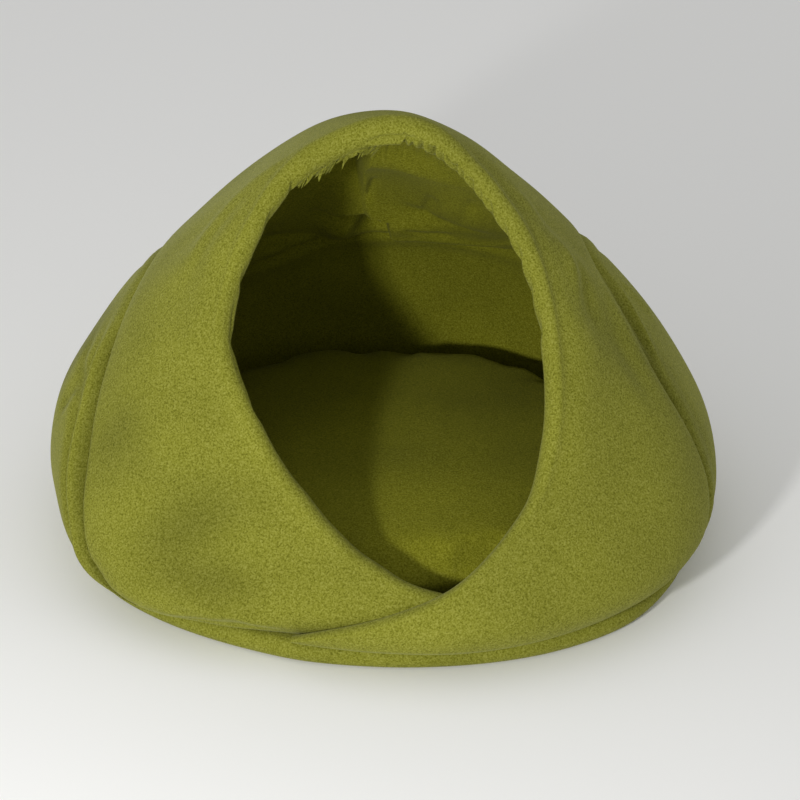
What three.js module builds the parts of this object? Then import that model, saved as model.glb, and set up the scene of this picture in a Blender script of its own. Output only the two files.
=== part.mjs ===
// A fleece cave bed for a small pet: a padded hood whose two front ends cross below a tall mouth, a low
// padded back, a lining, a padded oval base and a loose cushion. Millimetres, +Z up, the mouth towards -Y.
import * as THREE from 'three';

// Driving dimensions
const BASE_THICKNESS = 18.7;
const SEWN_GAP = 0.3;                          // daylight left between two pieces that are sewn together
const FOOT = { halfWidth: 244, halfDepth: 229, height: BASE_THICKNESS + SEWN_GAP };
const WALL_THICKNESS = 17;                     // fleece with foam behind it
const LINING_THICKNESS = 2.5;
const LINING_GAP = 0.8;                        // between the lining and the padded wall it lies on
// The band of the hood's own cloth that is turned in at the rim. It narrows towards the hood's two ends.
const FACING = { width: 25, mostOfHood: 0.4, extraThickness: LINING_THICKNESS + 1 };
const RIM_ROUND = 9;                           // how far the rolled rim stands out past the last section
const BASE = { halfWidth: 239, halfDepth: 223 };
const CUSHION = { halfWidth: 212, halfDepth: 194, towardsBack: 8, side: 26, crown: 8 };

// The outer face of the wall, in sections turned about the upright axis.
// turn: degrees from the front towards the right. x, y, z: the mouth's edge on that section.
// rise: slope of the wall in degrees where it meets that edge. lean: how far the foot leans out from upright.
// footPull, rimPull: how long the wall keeps those directions, as a share of the line from foot to edge.
// footOut: how far the foot stands out past its plain oval there.
const SECTIONS = [
  { turn: 0, x: 25, y: -205, z: 85, rise: 63, lean: 33, footPull: 0.40, rimPull: 0.34, footOut: -2 },
  { turn: 15, x: 72, y: -199, z: 92, rise: 63, lean: 36, footPull: 0.41, rimPull: 0.35, footOut: 5 },
  { turn: 30, x: 109, y: -181, z: 114, rise: 63, lean: 45, footPull: 0.43, rimPull: 0.36, footOut: 7 },
  { turn: 45, x: 126, y: -149, z: 151, rise: 62, lean: 60, footPull: 0.44, rimPull: 0.37, footOut: 5 },
  { turn: 60, x: 129, y: -113, z: 199, rise: 62, lean: 60, footPull: 0.41, rimPull: 0.36, footOut: 1 },
  { turn: 75, x: 117, y: -76, z: 253, rise: 59, lean: 47, footPull: 0.35, rimPull: 0.34, footOut: -3 },
  { turn: 90, x: 92, y: -46, z: 289, rise: 53, lean: 27, footPull: 0.31, rimPull: 0.34, footOut: 4 },
  { turn: 120, x: 65, y: -26, z: 316, rise: 37, lean: 18, footPull: 0.28, rimPull: 0.36, footOut: 4 },
  { turn: 150, x: 37, y: -15, z: 332, rise: 23, lean: 12, footPull: 0.26, rimPull: 0.38, footOut: 1 },
  { turn: 180, x: 10, y: -10, z: 337, rise: 13, lean: 7, footPull: 0.25, rimPull: 0.40, footOut: 3 },
  { turn: 210, x: -20, y: -13, z: 333, rise: 15, lean: 12, footPull: 0.25, rimPull: 0.39, footOut: 7 },
  { turn: 240, x: -60, y: -24, z: 317, rise: 31, lean: 22, footPull: 0.28, rimPull: 0.36, footOut: 5 },
  { turn: 270, x: -88, y: -43, z: 297, rise: 46, lean: 37, footPull: 0.32, rimPull: 0.34, footOut: -1 },
  { turn: 285, x: -113, y: -77, z: 255, rise: 53, lean: 45, footPull: 0.35, rimPull: 0.34, footOut: -3 },
  { turn: 300, x: -122, y: -110, z: 201, rise: 57, lean: 55, footPull: 0.40, rimPull: 0.35, footOut: 1 },
  { turn: 315, x: -97, y: -150, z: 153, rise: 60, lean: 56, footPull: 0.42, rimPull: 0.35, footOut: 6 },
  { turn: 330, x: -65, y: -177, z: 111, rise: 61, lean: 47, footPull: 0.42, rimPull: 0.34, footOut: -3 },
  { turn: 345, x: -20, y: -196, z: 91, rise: 63, lean: 38, footPull: 0.41, rimPull: 0.34, footOut: -6 },
];

// The base's edge bulges past its plain oval where the filling has been pushed: mostly in front on the right.
const BASE_OUT = [
  { turn: 0, out: -2 },
  { turn: 15, out: 3 },
  { turn: 30, out: 10 },
  { turn: 45, out: 15 },
  { turn: 60, out: 11 },
  { turn: 75, out: 4 },
  { turn: 90, out: 3 },
  { turn: 150, out: 1 },
  { turn: 210, out: 5 },
  { turn: 240, out: 4 },
  { turn: 270, out: 0 },
  { turn: 285, out: 3 },
  { turn: 300, out: 7 },
  { turn: 315, out: 2 },
  { turn: 330, out: -3 },
  { turn: 345, out: -3 },
];

// How the hood runs, from its right end in front of the middle, round the right side, the back and the left
// side, to its left end, which is tucked behind the right one.
// reach: the share of the section that the hood covers. thickness: of its wall. tuck: how far it lies inside
// the outer face, because the right end covers it: that end's thickness, lining and facing, and 2 mm.
const HOOD_RUN = [
  { turn: -16, reach: 0.05, thickness: 6, tuck: 0 },
  { turn: -8, reach: 0.25, thickness: 7, tuck: 0 },
  { turn: 0, reach: 0.44, thickness: 9, tuck: 0 },
  { turn: 8, reach: 0.63, thickness: 10.5, tuck: 0 },
  { turn: 15, reach: 0.83, thickness: 12, tuck: 0 },
  { turn: 22, reach: 0.96, thickness: 14, tuck: 0 },
  { turn: 30, reach: 1, thickness: 16, tuck: 0 },
  { turn: 45, reach: 1, thickness: WALL_THICKNESS, tuck: 0 },
  { turn: 312, reach: 1, thickness: WALL_THICKNESS, tuck: 0 },
  { turn: 321, reach: 1, thickness: WALL_THICKNESS, tuck: 1 },
  { turn: 330, reach: 1, thickness: WALL_THICKNESS, tuck: 4 },
  { turn: 338, reach: 0.94, thickness: 16, tuck: 8.5 },
  { turn: 345, reach: 0.87, thickness: 15, tuck: 12 },
  { turn: 352, reach: 0.80, thickness: 14, tuck: 13 },
  { turn: 360, reach: 0.67, thickness: 12, tuck: 14.8 },
  { turn: 368, reach: 0.53, thickness: 11, tuck: 16.5 },
  { turn: 378, reach: 0.36, thickness: 10, tuck: 18.8 },
  { turn: 386, reach: 0.21, thickness: 9, tuck: 21 },
  { turn: 392, reach: 0.10, thickness: 9, tuck: 22.2 },
];

// The seam between hood and back panel: the share of each section that the back panel takes.
const SEAM = [
  { turn: 56, share: 0 },
  { turn: 62, share: 0.09 },
  { turn: 66, share: 0.18 },
  { turn: 70, share: 0.29 },
  { turn: 74, share: 0.43 },
  { turn: 78, share: 0.53 },
  { turn: 85, share: 0.61 },
  { turn: 97, share: 0.67 },
  { turn: 112, share: 0.66 },
  { turn: 130, share: 0.57 },
  { turn: 155, share: 0.46 },
  { turn: 180, share: 0.43 },
  { turn: 205, share: 0.44 },
  { turn: 230, share: 0.52 },
  { turn: 250, share: 0.60 },
  { turn: 264, share: 0.60 },
  { turn: 279, share: 0.55 },
  { turn: 290, share: 0.47 },
  { turn: 296, share: 0.41 },
  { turn: 301, share: 0.33 },
  { turn: 306, share: 0.21 },
  { turn: 312, share: 0.09 },
  { turn: 318, share: 0 },
];
const SEAM_DIP = { depth: 2, halfWidth: 9 };           // both pieces draw in where they are sewn
const SEAM_ROLL = { height: 5, from: 9, halfWidth: 6 };      // the back panel puffs up beside the seam
const SEAM_GROOVE = { depth: 4, from: 21, halfWidth: 7 };    // and folds in behind that roll

// Broad soft dents (negative) and ridges (positive) of the padded hood. up: mm along the wall from its foot.
// height: mm out of the face. halfTurn and halfUp: how far each spreads, in mm round and up the wall.
const HOOD_DENTS = [
  { turn: 296, up: 112, height: -4, halfTurn: 30, halfUp: 34 },
  { turn: 316, up: 108, height: -6, halfTurn: 30, halfUp: 34 },
  { turn: 321, up: 62, height: -5, halfTurn: 34, halfUp: 24 },
  { turn: 306, up: 152, height: 4, halfTurn: 34, halfUp: 36 },
  { turn: 277, up: 268, height: 4, halfTurn: 22, halfUp: 34 },
  { turn: 86, up: 268, height: 4, halfTurn: 22, halfUp: 36 },
  { turn: 76, up: 205, height: -4, halfTurn: 18, halfUp: 46 },
  { turn: 58, up: 110, height: 3, halfTurn: 40, halfUp: 40 },
  { turn: 200, up: 300, height: 4, halfTurn: 60, halfUp: 40 },
  { turn: 0, up: 45, height: 5, halfTurn: 70, halfUp: 30 },
];
// Where the loose lining hangs clear of the hood, in folds. The same columns, with height into the cave.
const LINING_FOLDS = [
  { turn: 176, up: 300, height: 16, halfTurn: 34, halfUp: 50 },
  { turn: 150, up: 262, height: 12, halfTurn: 44, halfUp: 44 },
  { turn: 122, up: 288, height: 10, halfTurn: 40, halfUp: 40 },
  { turn: 206, up: 292, height: 9, halfTurn: 26, halfUp: 50 },
  { turn: 236, up: 300, height: 11, halfTurn: 40, halfUp: 46 },
];

const RAD = Math.PI / 180;
const FULL_TURN = 360;

// The smooth curve through the columns of a table. Its slope at a row is that from one neighbour to the
// other. A closed table starts again after a full turn.
function readTable(table, keys, turn, closed) {
  const first = table[0].turn;
  const place = closed ? THREE.MathUtils.euclideanModulo(turn - first, FULL_TURN) + first : turn;
  const last = table.length - 1;
  const row = (i) => {
    if (!closed) return table[THREE.MathUtils.clamp(i, 0, last)];
    const lap = Math.floor(i / table.length);
    const source = table[i - lap * table.length];
    return { ...source, turn: source.turn + lap * FULL_TURN };
  };
  let i = 0;
  while (i < (closed ? last : last - 1) && row(i + 1).turn <= place) i += 1;
  const [before, a, b, after] = [row(i - 1), row(i), row(i + 1), row(i + 2)];
  const step = b.turn - a.turn;
  const t = THREE.MathUtils.clamp((place - a.turn) / step, 0, 1);
  const values = {};
  for (const key of keys) {
    const slopeA = (b[key] - before[key]) / (b.turn - before.turn) * step;
    const slopeB = (after[key] - a[key]) / (after.turn - a.turn) * step;
    const [t2, t3] = [t * t, t * t * t];
    values[key] = (2 * t3 - 3 * t2 + 1) * a[key] + (t3 - 2 * t2 + t) * slopeA
      + (3 * t2 - 2 * t3) * b[key] + (t3 - t2) * slopeB;
  }
  return values;
}

// A straight run between the rows of a table, for values that must not swing past their rows.
function readStraight(table, key, turn) {
  let i = 0;
  while (i < table.length - 2 && table[i + 1].turn <= turn) i += 1;
  const [a, b] = [table[i], table[i + 1]];
  const place = THREE.MathUtils.clamp(turn, a.turn, b.turn);
  return THREE.MathUtils.mapLinear(place, a.turn, b.turn, a[key], b[key]);
}

// One section of the outer face: a cubic curve from the foot to the mouth's edge. Places on it are read by
// their length from the foot.
const SECTION_KEYS = ['x', 'y', 'z', 'rise', 'lean', 'footPull', 'rimPull', 'footOut'];
const SECTION_STEPS = 60;

function sectionCurve(turn) {
  const row = readTable(SECTIONS, SECTION_KEYS, turn, true);
  const out = new THREE.Vector3(Math.sin(turn * RAD), -Math.cos(turn * RAD), 0);
  const up = new THREE.Vector3(0, 0, 1);
  const foot = new THREE.Vector3(out.x * (FOOT.halfWidth + row.footOut),
    out.y * (FOOT.halfDepth + row.footOut), FOOT.height);
  const edge = new THREE.Vector3(row.x, row.y, row.z);
  const reach = foot.distanceTo(edge);
  const level = edge.clone().sub(foot).setZ(0).normalize();
  const footPoint = foot.clone()
    .addScaledVector(out, row.footPull * reach * Math.sin(row.lean * RAD))
    .addScaledVector(up, row.footPull * reach * Math.cos(row.lean * RAD));
  const edgePoint = edge.clone()
    .addScaledVector(level, -row.rimPull * reach * Math.cos(row.rise * RAD))
    .addScaledVector(up, -row.rimPull * reach * Math.sin(row.rise * RAD));
  return new THREE.CubicBezierCurve3(foot, footPoint, edgePoint, edge);
}

class Section {
  constructor(turn) {
    this.turn = turn;
    this.curve = sectionCurve(turn);
    this.points = this.curve.getPoints(SECTION_STEPS);
    this.lengths = [0];
    for (let i = 1; i <= SECTION_STEPS; i += 1) {
      this.lengths.push(this.lengths[i - 1] + this.points[i].distanceTo(this.points[i - 1]));
    }
    this.length = this.lengths[SECTION_STEPS];
  }

  lengthAtShare(share) {
    const place = THREE.MathUtils.clamp(share, 0, 1) * SECTION_STEPS;
    const i = Math.min(Math.floor(place), SECTION_STEPS - 1);
    return this.lengths[i] + (place - i) * (this.lengths[i + 1] - this.lengths[i]);
  }

  shareAtLength(length) {
    let i = 0;
    while (i < SECTION_STEPS - 1 && this.lengths[i + 1] < length) i += 1;
    const t = (length - this.lengths[i]) / (this.lengths[i + 1] - this.lengths[i]);
    return THREE.MathUtils.clamp((i + t) / SECTION_STEPS, 0, 1);
  }
}

const sections = new Map();
function section(turn) {
  if (!sections.has(turn)) sections.set(turn, new Section(turn));
  return sections.get(turn);
}

// A place on the outer face: its point, the way up the wall and the way out of the face.
// Towards the foot the way out turns level, so a thick wall still stands flat on the base.
const LEVEL_BELOW = 90;
const TURN_STEP = 0.5;

function facePlace(turn, length) {
  const here = section(turn);
  const share = here.shareAtLength(length);
  const point = here.curve.getPoint(share);
  const upward = here.curve.getTangent(share);
  const along = section(turn + TURN_STEP).curve.getPoint(share)
    .sub(section(turn - TURN_STEP).curve.getPoint(share));
  const outward = along.cross(upward).normalize();
  outward.z *= THREE.MathUtils.smoothstep(length, 0, LEVEL_BELOW);
  return { point, upward, outward: outward.normalize() };
}

// The seam as a line of points on the outer face, and the distance from it.
const seamShare = (turn) => Math.max(readTable(SEAM, ['share'], turn, false).share, 0);
const seamLength = (turn) => section(turn).lengthAtShare(seamShare(turn));
const SEAM_START = SEAM[0].turn;
const SEAM_END = SEAM[SEAM.length - 1].turn;
const SEAM_STEPS = 160;
const seamLine = Array.from({ length: SEAM_STEPS + 1 }, (_, i) => {
  const turn = SEAM_START + (SEAM_END - SEAM_START) * i / SEAM_STEPS;
  return facePlace(turn, seamLength(turn)).point;
});

function seamDistance(point) {
  const segment = new THREE.Line3();
  const nearest = new THREE.Vector3();
  let best = Infinity;
  for (let i = 0; i < SEAM_STEPS; i += 1) {
    segment.set(seamLine[i], seamLine[i + 1]).closestPointToPoint(point, true, nearest);
    best = Math.min(best, nearest.distanceTo(point));
  }
  return best;
}

// A smooth hump of height 1 at the middle that is gone at twice its half width.
const hump = (distance, halfWidth) => Math.exp(-Math.LN2 * (distance / halfWidth) ** 2);

function reliefOf(table, turn, length) {
  const footRadius = (FOOT.halfWidth + FOOT.halfDepth) / 2;
  return table.reduce((sum, dent) => {
    const apart = turn - dent.turn;
    const round = (apart - FULL_TURN * Math.round(apart / FULL_TURN)) * RAD * footRadius;
    return sum + dent.height * hump(round, dent.halfTurn) * hump(length - dent.up, dent.halfUp);
  }, 0);
}

// Dents and folds fade out where the wall is sewn to the base.
const FLAT_BELOW = 30;
const aboveFoot = (length) => THREE.MathUtils.smoothstep(length, 0, FLAT_BELOW);

// The seam's roll and dip fade out where it comes down to the base.
const SEAM_FADE = { from: 60, to: 150 };
const seamFade = (turn) => THREE.MathUtils.smoothstep(
  seamLength(THREE.MathUtils.clamp(turn, SEAM_START, SEAM_END)), SEAM_FADE.from, SEAM_FADE.to);

function hoodRelief(turn, length, point) {
  const dip = SEAM_DIP.depth * hump(seamDistance(point), SEAM_DIP.halfWidth) * seamFade(turn);
  return (reliefOf(HOOD_DENTS, turn, length) - dip) * aboveFoot(length);
}

function backRelief(turn, length, point) {
  const distance = seamDistance(point);
  const roll = SEAM_ROLL.height * hump(distance - SEAM_ROLL.from, SEAM_ROLL.halfWidth);
  const groove = SEAM_GROOVE.depth * hump(distance - SEAM_GROOVE.from, SEAM_GROOVE.halfWidth);
  const dip = SEAM_DIP.depth * hump(distance, SEAM_DIP.halfWidth);
  return (roll - groove - dip) * seamFade(turn) * aboveFoot(length);
}

// How much of each section a piece covers: from the foot or the seam, up to the mouth's edge or the seam.
// Where the seam runs steeply, more is left free along the section so that the two edges stay apart.
const SEAM_PROBE = 0.25;

function seamMargin(turn) {
  const [a, b] = [turn - SEAM_PROBE, turn + SEAM_PROBE]
    .map((at) => facePlace(at, seamLength(THREE.MathUtils.clamp(at, SEAM_START, SEAM_END))).point);
  const climb = Math.abs(b.z - a.z) / Math.hypot(b.x - a.x, b.y - a.y);
  return SEWN_GAP * Math.hypot(1, climb);
}

const overSeam = (turn) => turn > SEAM_START && turn < SEAM_END;
const hoodFrom = (turn) => (overSeam(turn) ? seamLength(turn) + seamMargin(turn) : 0);
const hoodTo = (turn) => section(turn).lengthAtShare(readTable(HOOD_RUN, ['reach'], turn, false).reach);
const backTo = (turn) => seamLength(turn) - seamMargin(turn);
const hoodThickness = (turn) => readTable(HOOD_RUN, ['thickness'], turn, false).thickness;
const hoodTuck = (turn) => Math.max(readStraight(HOOD_RUN, 'tuck', turn), 0);
const facingWidth = (turn) => Math.min(FACING.width, FACING.mostOfHood * (hoodTo(turn) - hoodFrom(turn)));

// The turns at which pieces have a section: even steps, and each row of the tables.
const TURN_SPACING = 7;
const CLOSEST_TURNS = 0.9;

function turnsBetween(from, to, tables) {
  const kept = [from, to];
  const offer = (turn) => {
    const free = kept.every((other) => Math.abs(other - turn) >= CLOSEST_TURNS);
    if (free && turn > from && turn < to) kept.push(turn);
  };
  for (const table of tables) table.forEach((row) => offer(row.turn));
  for (let turn = Math.ceil(from / TURN_SPACING) * TURN_SPACING; turn < to; turn += TURN_SPACING) {
    if (kept.every((other) => Math.abs(other - turn) >= TURN_SPACING / 2)) offer(turn);
  }
  return kept.sort((a, b) => a - b);
}

// A closed solid from rings of points, one ring for each section, with a flat or fanned end at either side.
// Each ring runs up the outer face, over the edge and down the inner face.
function solidFromRings(rings, facePairs) {
  const count = rings[0].length;
  const positions = rings.flat().flatMap((point) => [point.x, point.y, point.z]);
  const index = [];
  const quad = (a, b, c, d) => index.push(a, b, c, a, c, d);
  for (let i = 0; i < rings.length - 1; i += 1) {
    for (let j = 0; j < count; j += 1) {
      const [here, above] = [i * count + j, i * count + (j + 1) % count];
      const corners = [here, here + count, above + count, above];
      // The inner face is split along the same diagonal as the outer face of the piece behind it.
      if (j >= count - facePairs) corners.push(corners.shift());
      quad(...corners);
    }
  }
  const lastRing = (rings.length - 1) * count;
  for (let j = 0; j < facePairs - 1; j += 1) {
    const [outerLow, outerHigh, innerHigh, innerLow] = [j, j + 1, count - 2 - j, count - 1 - j];
    quad(outerLow, outerHigh, innerHigh, innerLow);
    quad(lastRing + innerLow, lastRing + innerHigh, lastRing + outerHigh, lastRing + outerLow);
  }
  for (let j = facePairs - 1; j < count - facePairs - 1; j += 1) {
    const fanEnd = count - facePairs;
    index.push(j, j + 1, fanEnd);
    index.push(lastRing + fanEnd, lastRing + j + 1, lastRing + j);
  }
  const geometry = new THREE.BufferGeometry();
  geometry.setAttribute('position', new THREE.Float32BufferAttribute(positions, 3));
  geometry.setIndex(index);
  geometry.computeVertexNormals();
  return geometry;
}

// One ring of a padded or lining piece. lengths: where its rows lie. outerDepth, innerDepth: how deep each
// face lies below the outer face of the wall, at a row. round: how far a rolled top edge stands out.
const ROUND_STEPS = 4;

function ringOf(turn, lengths, outerDepth, innerDepth, round) {
  const places = lengths.map((length) => facePlace(turn, length));
  const sink = (place, depth) => place.point.clone().addScaledVector(place.outward, -depth);
  const outer = places.map((place, i) => sink(place, outerDepth(lengths[i], place.point)));
  const inner = places.map((place, i) => sink(place, innerDepth(lengths[i], place.point)));
  const edge = [];
  if (round > 0) {
    const top = places[places.length - 1];
    const [from, to] = [outer[outer.length - 1], inner[inner.length - 1]];
    for (let k = 1; k < ROUND_STEPS; k += 1) {
      const angle = Math.PI * k / ROUND_STEPS;
      edge.push(from.clone().lerp(to, (1 - Math.cos(angle)) / 2)
        .addScaledVector(top.upward, round * Math.sin(angle)));
    }
  }
  return [...outer, ...edge, ...inner.reverse()];
}

const evenRows = (from, to, count) => Array.from({ length: count },
  (_, i) => from + (to - from) * i / (count - 1));

// The rows that the hood and its lining share, up to where the rim's facing starts.
const HOOD_ROWS = 8;
const FACING_ROWS = 3;
const FACING_STEP = 2;                         // the facing's thickness is reached in this width
const hoodRows = (turn) => evenRows(
  hoodFrom(turn), hoodTo(turn) - facingWidth(turn) - FACING_STEP, HOOD_ROWS);

const BACK_END = 0.8;                          // degrees left free between each end of the panel and the hood
const backEnds = [{ turn: SEAM_START + BACK_END }, { turn: SEAM_END - BACK_END }];
const hoodEnds = [HOOD_RUN[0].turn, HOOD_RUN[HOOD_RUN.length - 1].turn];
const hoodTurns = turnsBetween(...hoodEnds, [backEnds, SEAM, HOOD_RUN]);

function hoodShell() {
  const rings = hoodTurns.map((turn) => {
    const facingFrom = hoodTo(turn) - facingWidth(turn);
    const rows = [...hoodRows(turn), facingFrom, (facingFrom + hoodTo(turn)) / 2, hoodTo(turn)];
    const outerDepth = (length, point) => hoodTuck(turn) - hoodRelief(turn, length, point);
    const facing = (length) => (length >= facingFrom ? FACING.extraThickness : 0);
    const innerDepth = (length, point) => outerDepth(length, point) + hoodThickness(turn) + facing(length);
    const round = RIM_ROUND * hoodThickness(turn) / WALL_THICKNESS;
    return ringOf(turn, rows, outerDepth, innerDepth, round);
  });
  return solidFromRings(rings, HOOD_ROWS + FACING_ROWS);
}

// The lining is held along its edges and hangs free this far inside them.
const HELD_MARGIN = 40;

function hoodLining() {
  const rings = hoodTurns.map((turn) => {
    const rows = hoodRows(turn);
    const ends = [rows[0], rows[rows.length - 1]];
    const toEdge = (length) => Math.min(length - ends[0], ends[1] - length);
    const free = (length) => THREE.MathUtils.smoothstep(toEdge(length), 0, HELD_MARGIN);
    const outerDepth = (length, point) => hoodTuck(turn) - hoodRelief(turn, length, point)
      + hoodThickness(turn) + LINING_GAP + reliefOf(LINING_FOLDS, turn, length) * free(length);
    const innerDepth = (length, point) => outerDepth(length, point) + LINING_THICKNESS;
    return ringOf(turn, rows, outerDepth, innerDepth, 0);
  });
  return solidFromRings(rings, HOOD_ROWS);
}

// The back panel's rows are close together under the seam, where it rolls and folds in. On its shortest
// sections they close up, so that they stay in order.
const BACK_ROWS = 5;
const SHORTEST_BACK = 0.6;
const ROOMY_BACK = 40;
const backTurns = turnsBetween(backEnds[0].turn, backEnds[1].turn, [SEAM, HOOD_RUN]);

function backRows(turn) {
  const top = Math.max(backTo(turn), SHORTEST_BACK);
  const climb = seamMargin(turn) / SEWN_GAP;
  const fromSeam = [
    SEAM_GROOVE.from + SEAM_GROOVE.halfWidth,
    SEAM_GROOVE.from,
    (SEAM_ROLL.from + SEAM_GROOVE.from) / 2,
    SEAM_ROLL.from,
    SEAM_DIP.halfWidth / 3,
  ].map((distance) => Math.min(distance * climb, distance / ROOMY_BACK * top));
  const closeRows = fromSeam.slice(1).map((distance) => top - distance);
  return [...evenRows(0, top - fromSeam[0], BACK_ROWS), ...closeRows, top];
}

function backPanel(outerFrom, thickness) {
  const rings = backTurns.map((turn) => {
    const outerDepth = (length, point) => outerFrom - backRelief(turn, length, point);
    const innerDepth = (length, point) => outerDepth(length, point) + thickness;
    return ringOf(turn, backRows(turn), outerDepth, innerDepth, 0);
  });
  return solidFromRings(rings, backRows(backTurns[0]).length);
}

// A padded oval: rings of a profile from its underside to its top, each at a height and at an inset from
// the half width and half depth, closed by a point in the middle of the underside and of the top.
// outAt: how far it stands out past the oval at a turn.
const OVAL_SIDES = 72;

function ovalSolid({ halfWidth, halfDepth, towardsBack = 0 }, profile, outAt = () => 0) {
  const positions = [0, towardsBack, profile[0].z];
  const index = [];
  for (const { inset, z } of profile) {
    for (let i = 0; i < OVAL_SIDES; i += 1) {
      const turn = 360 * i / OVAL_SIDES;
      const out = outAt(turn) - inset;
      const [x, y] = [(halfWidth + out) * Math.sin(turn * RAD), -(halfDepth + out) * Math.cos(turn * RAD)];
      positions.push(x, towardsBack + y, z);
    }
  }
  const ringStart = (ring) => 1 + ring * OVAL_SIDES;
  const top = positions.length / 3;
  positions.push(0, towardsBack, profile[profile.length - 1].z);
  for (let i = 0; i < OVAL_SIDES; i += 1) {
    const next = (i + 1) % OVAL_SIDES;
    index.push(0, ringStart(0) + next, ringStart(0) + i);
    for (let ring = 0; ring < profile.length - 1; ring += 1) {
      const [a, b] = [ringStart(ring), ringStart(ring + 1)];
      index.push(a + i, a + next, b + next, a + i, b + next, b + i);
    }
    index.push(top, ringStart(profile.length - 1) + i, ringStart(profile.length - 1) + next);
  }
  const geometry = new THREE.BufferGeometry();
  geometry.setAttribute('position', new THREE.Float32BufferAttribute(positions, 3));
  geometry.setIndex(index);
  geometry.computeVertexNormals();
  return geometry;
}

// The base's edge is round below, and hardly drawn in where the wall is sewn to it.
// inset: from the widest outline. share: of the base's thickness.
const BASE_PROFILE = [
  { inset: 10, share: 0 },
  { inset: 2.5, share: 0.20 },
  { inset: 0, share: 0.45 },
  { inset: 1, share: 0.80 },
  { inset: 3, share: 1 },
];

function basePad() {
  const profile = BASE_PROFILE.map(({ inset, share }) => ({ inset, z: share * BASE_THICKNESS }));
  return ovalSolid(BASE, profile, (turn) => readTable(BASE_OUT, ['out'], turn, true).out);
}

// The cushion's edge draws in to a sewn line half way up, and its top rises in a low crown.
// inset: from the widest outline. side: share of the side's height. crown: share of the crown.
const CUSHION_PROFILE = [
  { inset: 26, side: 0, crown: 0 },
  { inset: 9, side: 0.10, crown: 0 },
  { inset: 1, side: 0.28, crown: 0 },
  { inset: 4, side: 0.48, crown: 0 },
  { inset: 0, side: 0.66, crown: 0 },
  { inset: 8, side: 0.88, crown: 0 },
  { inset: 30, side: 1, crown: 0 },
  { inset: 90, side: 1, crown: 0.7 },
  { inset: 150, side: 1, crown: 1 },
];

function seatCushion() {
  const height = (row) => FOOT.height + row.side * CUSHION.side + row.crown * CUSHION.crown;
  return ovalSolid(CUSHION, CUSHION_PROFILE.map((row) => ({ inset: row.inset, z: height(row) })));
}

const fleece = (color) => new THREE.MeshStandardMaterial({ color, roughness: 0.95, metalness: 0 });
const OUTER_GREEN = '#91963a';
const LINING_GREEN = '#7f8633';
const CUSHION_GREEN = '#8a9038';

function piece(name, geometry, color) {
  const mesh = new THREE.Mesh(geometry, fleece(color));
  mesh.name = name;
  return mesh;
}

const LINING_DEPTH = WALL_THICKNESS + LINING_GAP;
const bed = new THREE.Group();
bed.add(
  piece('base_pad', basePad(), OUTER_GREEN),
  piece('hood_shell', hoodShell(), OUTER_GREEN),
  piece('back_shell', backPanel(0, WALL_THICKNESS), OUTER_GREEN),
  piece('hood_lining', hoodLining(), LINING_GREEN),
  piece('back_lining', backPanel(LINING_DEPTH, LINING_THICKNESS), LINING_GREEN),
  piece('seat_cushion', seatCushion(), CUSHION_GREEN),
);

// The origin is the middle of the whole bed, on the surface it stands on.
const middle = new THREE.Box3().setFromObject(bed).getCenter(new THREE.Vector3());
bed.position.set(-middle.x, -middle.y, 0);
bed.updateMatrixWorld(true);

export default bed;
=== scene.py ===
import math

import bpy
import numpy as np
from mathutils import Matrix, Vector


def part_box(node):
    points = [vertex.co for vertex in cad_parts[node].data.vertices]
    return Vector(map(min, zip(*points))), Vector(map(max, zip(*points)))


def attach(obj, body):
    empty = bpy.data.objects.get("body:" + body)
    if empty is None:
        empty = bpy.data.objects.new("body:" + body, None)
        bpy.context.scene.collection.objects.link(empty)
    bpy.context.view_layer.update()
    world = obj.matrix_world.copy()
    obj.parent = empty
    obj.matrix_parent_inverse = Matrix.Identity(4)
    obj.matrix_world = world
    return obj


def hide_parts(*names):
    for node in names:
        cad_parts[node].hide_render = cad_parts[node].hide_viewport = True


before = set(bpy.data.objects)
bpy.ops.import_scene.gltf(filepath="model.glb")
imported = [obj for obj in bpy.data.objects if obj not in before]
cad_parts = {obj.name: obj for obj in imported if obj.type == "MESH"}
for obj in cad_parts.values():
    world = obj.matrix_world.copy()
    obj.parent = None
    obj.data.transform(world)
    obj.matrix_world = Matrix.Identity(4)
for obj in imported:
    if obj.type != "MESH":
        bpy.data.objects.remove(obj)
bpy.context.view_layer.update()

# The room: a pale floor under soft studio light, and the camera in front and 31 degrees above level, at the
# distance at which the bed's two sides narrow as they do in the photograph.
scene = bpy.context.scene
scene.view_settings.view_transform = "Standard"

CAMERA_RISE = math.radians(31)
CAMERA_DISTANCE = 1.75
CAMERA_PIVOT = Vector((0.0003, 0.0013, 0.060))
CAMERA_AIM_ABOVE = 0.0312
CAMERA_LENS = 100.8
SENSOR_WIDTH = 36
CAMERA_SHIFT = 0.02
camera_away = Vector((0, -math.cos(CAMERA_RISE), math.sin(CAMERA_RISE)))
camera_up = Vector((0, math.sin(CAMERA_RISE), math.cos(CAMERA_RISE)))
camera = bpy.data.objects.new("camera", bpy.data.cameras.new("camera"))
scene.collection.objects.link(camera)
camera.location = CAMERA_PIVOT + camera_away * CAMERA_DISTANCE
camera_aim = CAMERA_PIVOT + camera_up * CAMERA_AIM_ABOVE
camera.rotation_euler = (camera_aim - camera.location).to_track_quat("-Z", "Y").to_euler()
camera.data.lens = CAMERA_LENS
camera.data.sensor_width = SENSOR_WIDTH
camera.data.shift_x = CAMERA_SHIFT
scene.camera = camera

# The main light stands in front on the left, low and small, so that the mouth's edge throws a clear shadow
# into the cave. The even white of the room fills the rest.
LIGHT_TURN = math.radians(-22.5)
LIGHT_RISE = math.radians(18.5)
LIGHT_DISTANCE = 1.6
LIGHT_AIM = Vector((0, 0, 0.12))
LIGHT_SIZE = 0.12
LIGHT_POWER = 14
ROOM_STRENGTH = 0.60

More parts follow.
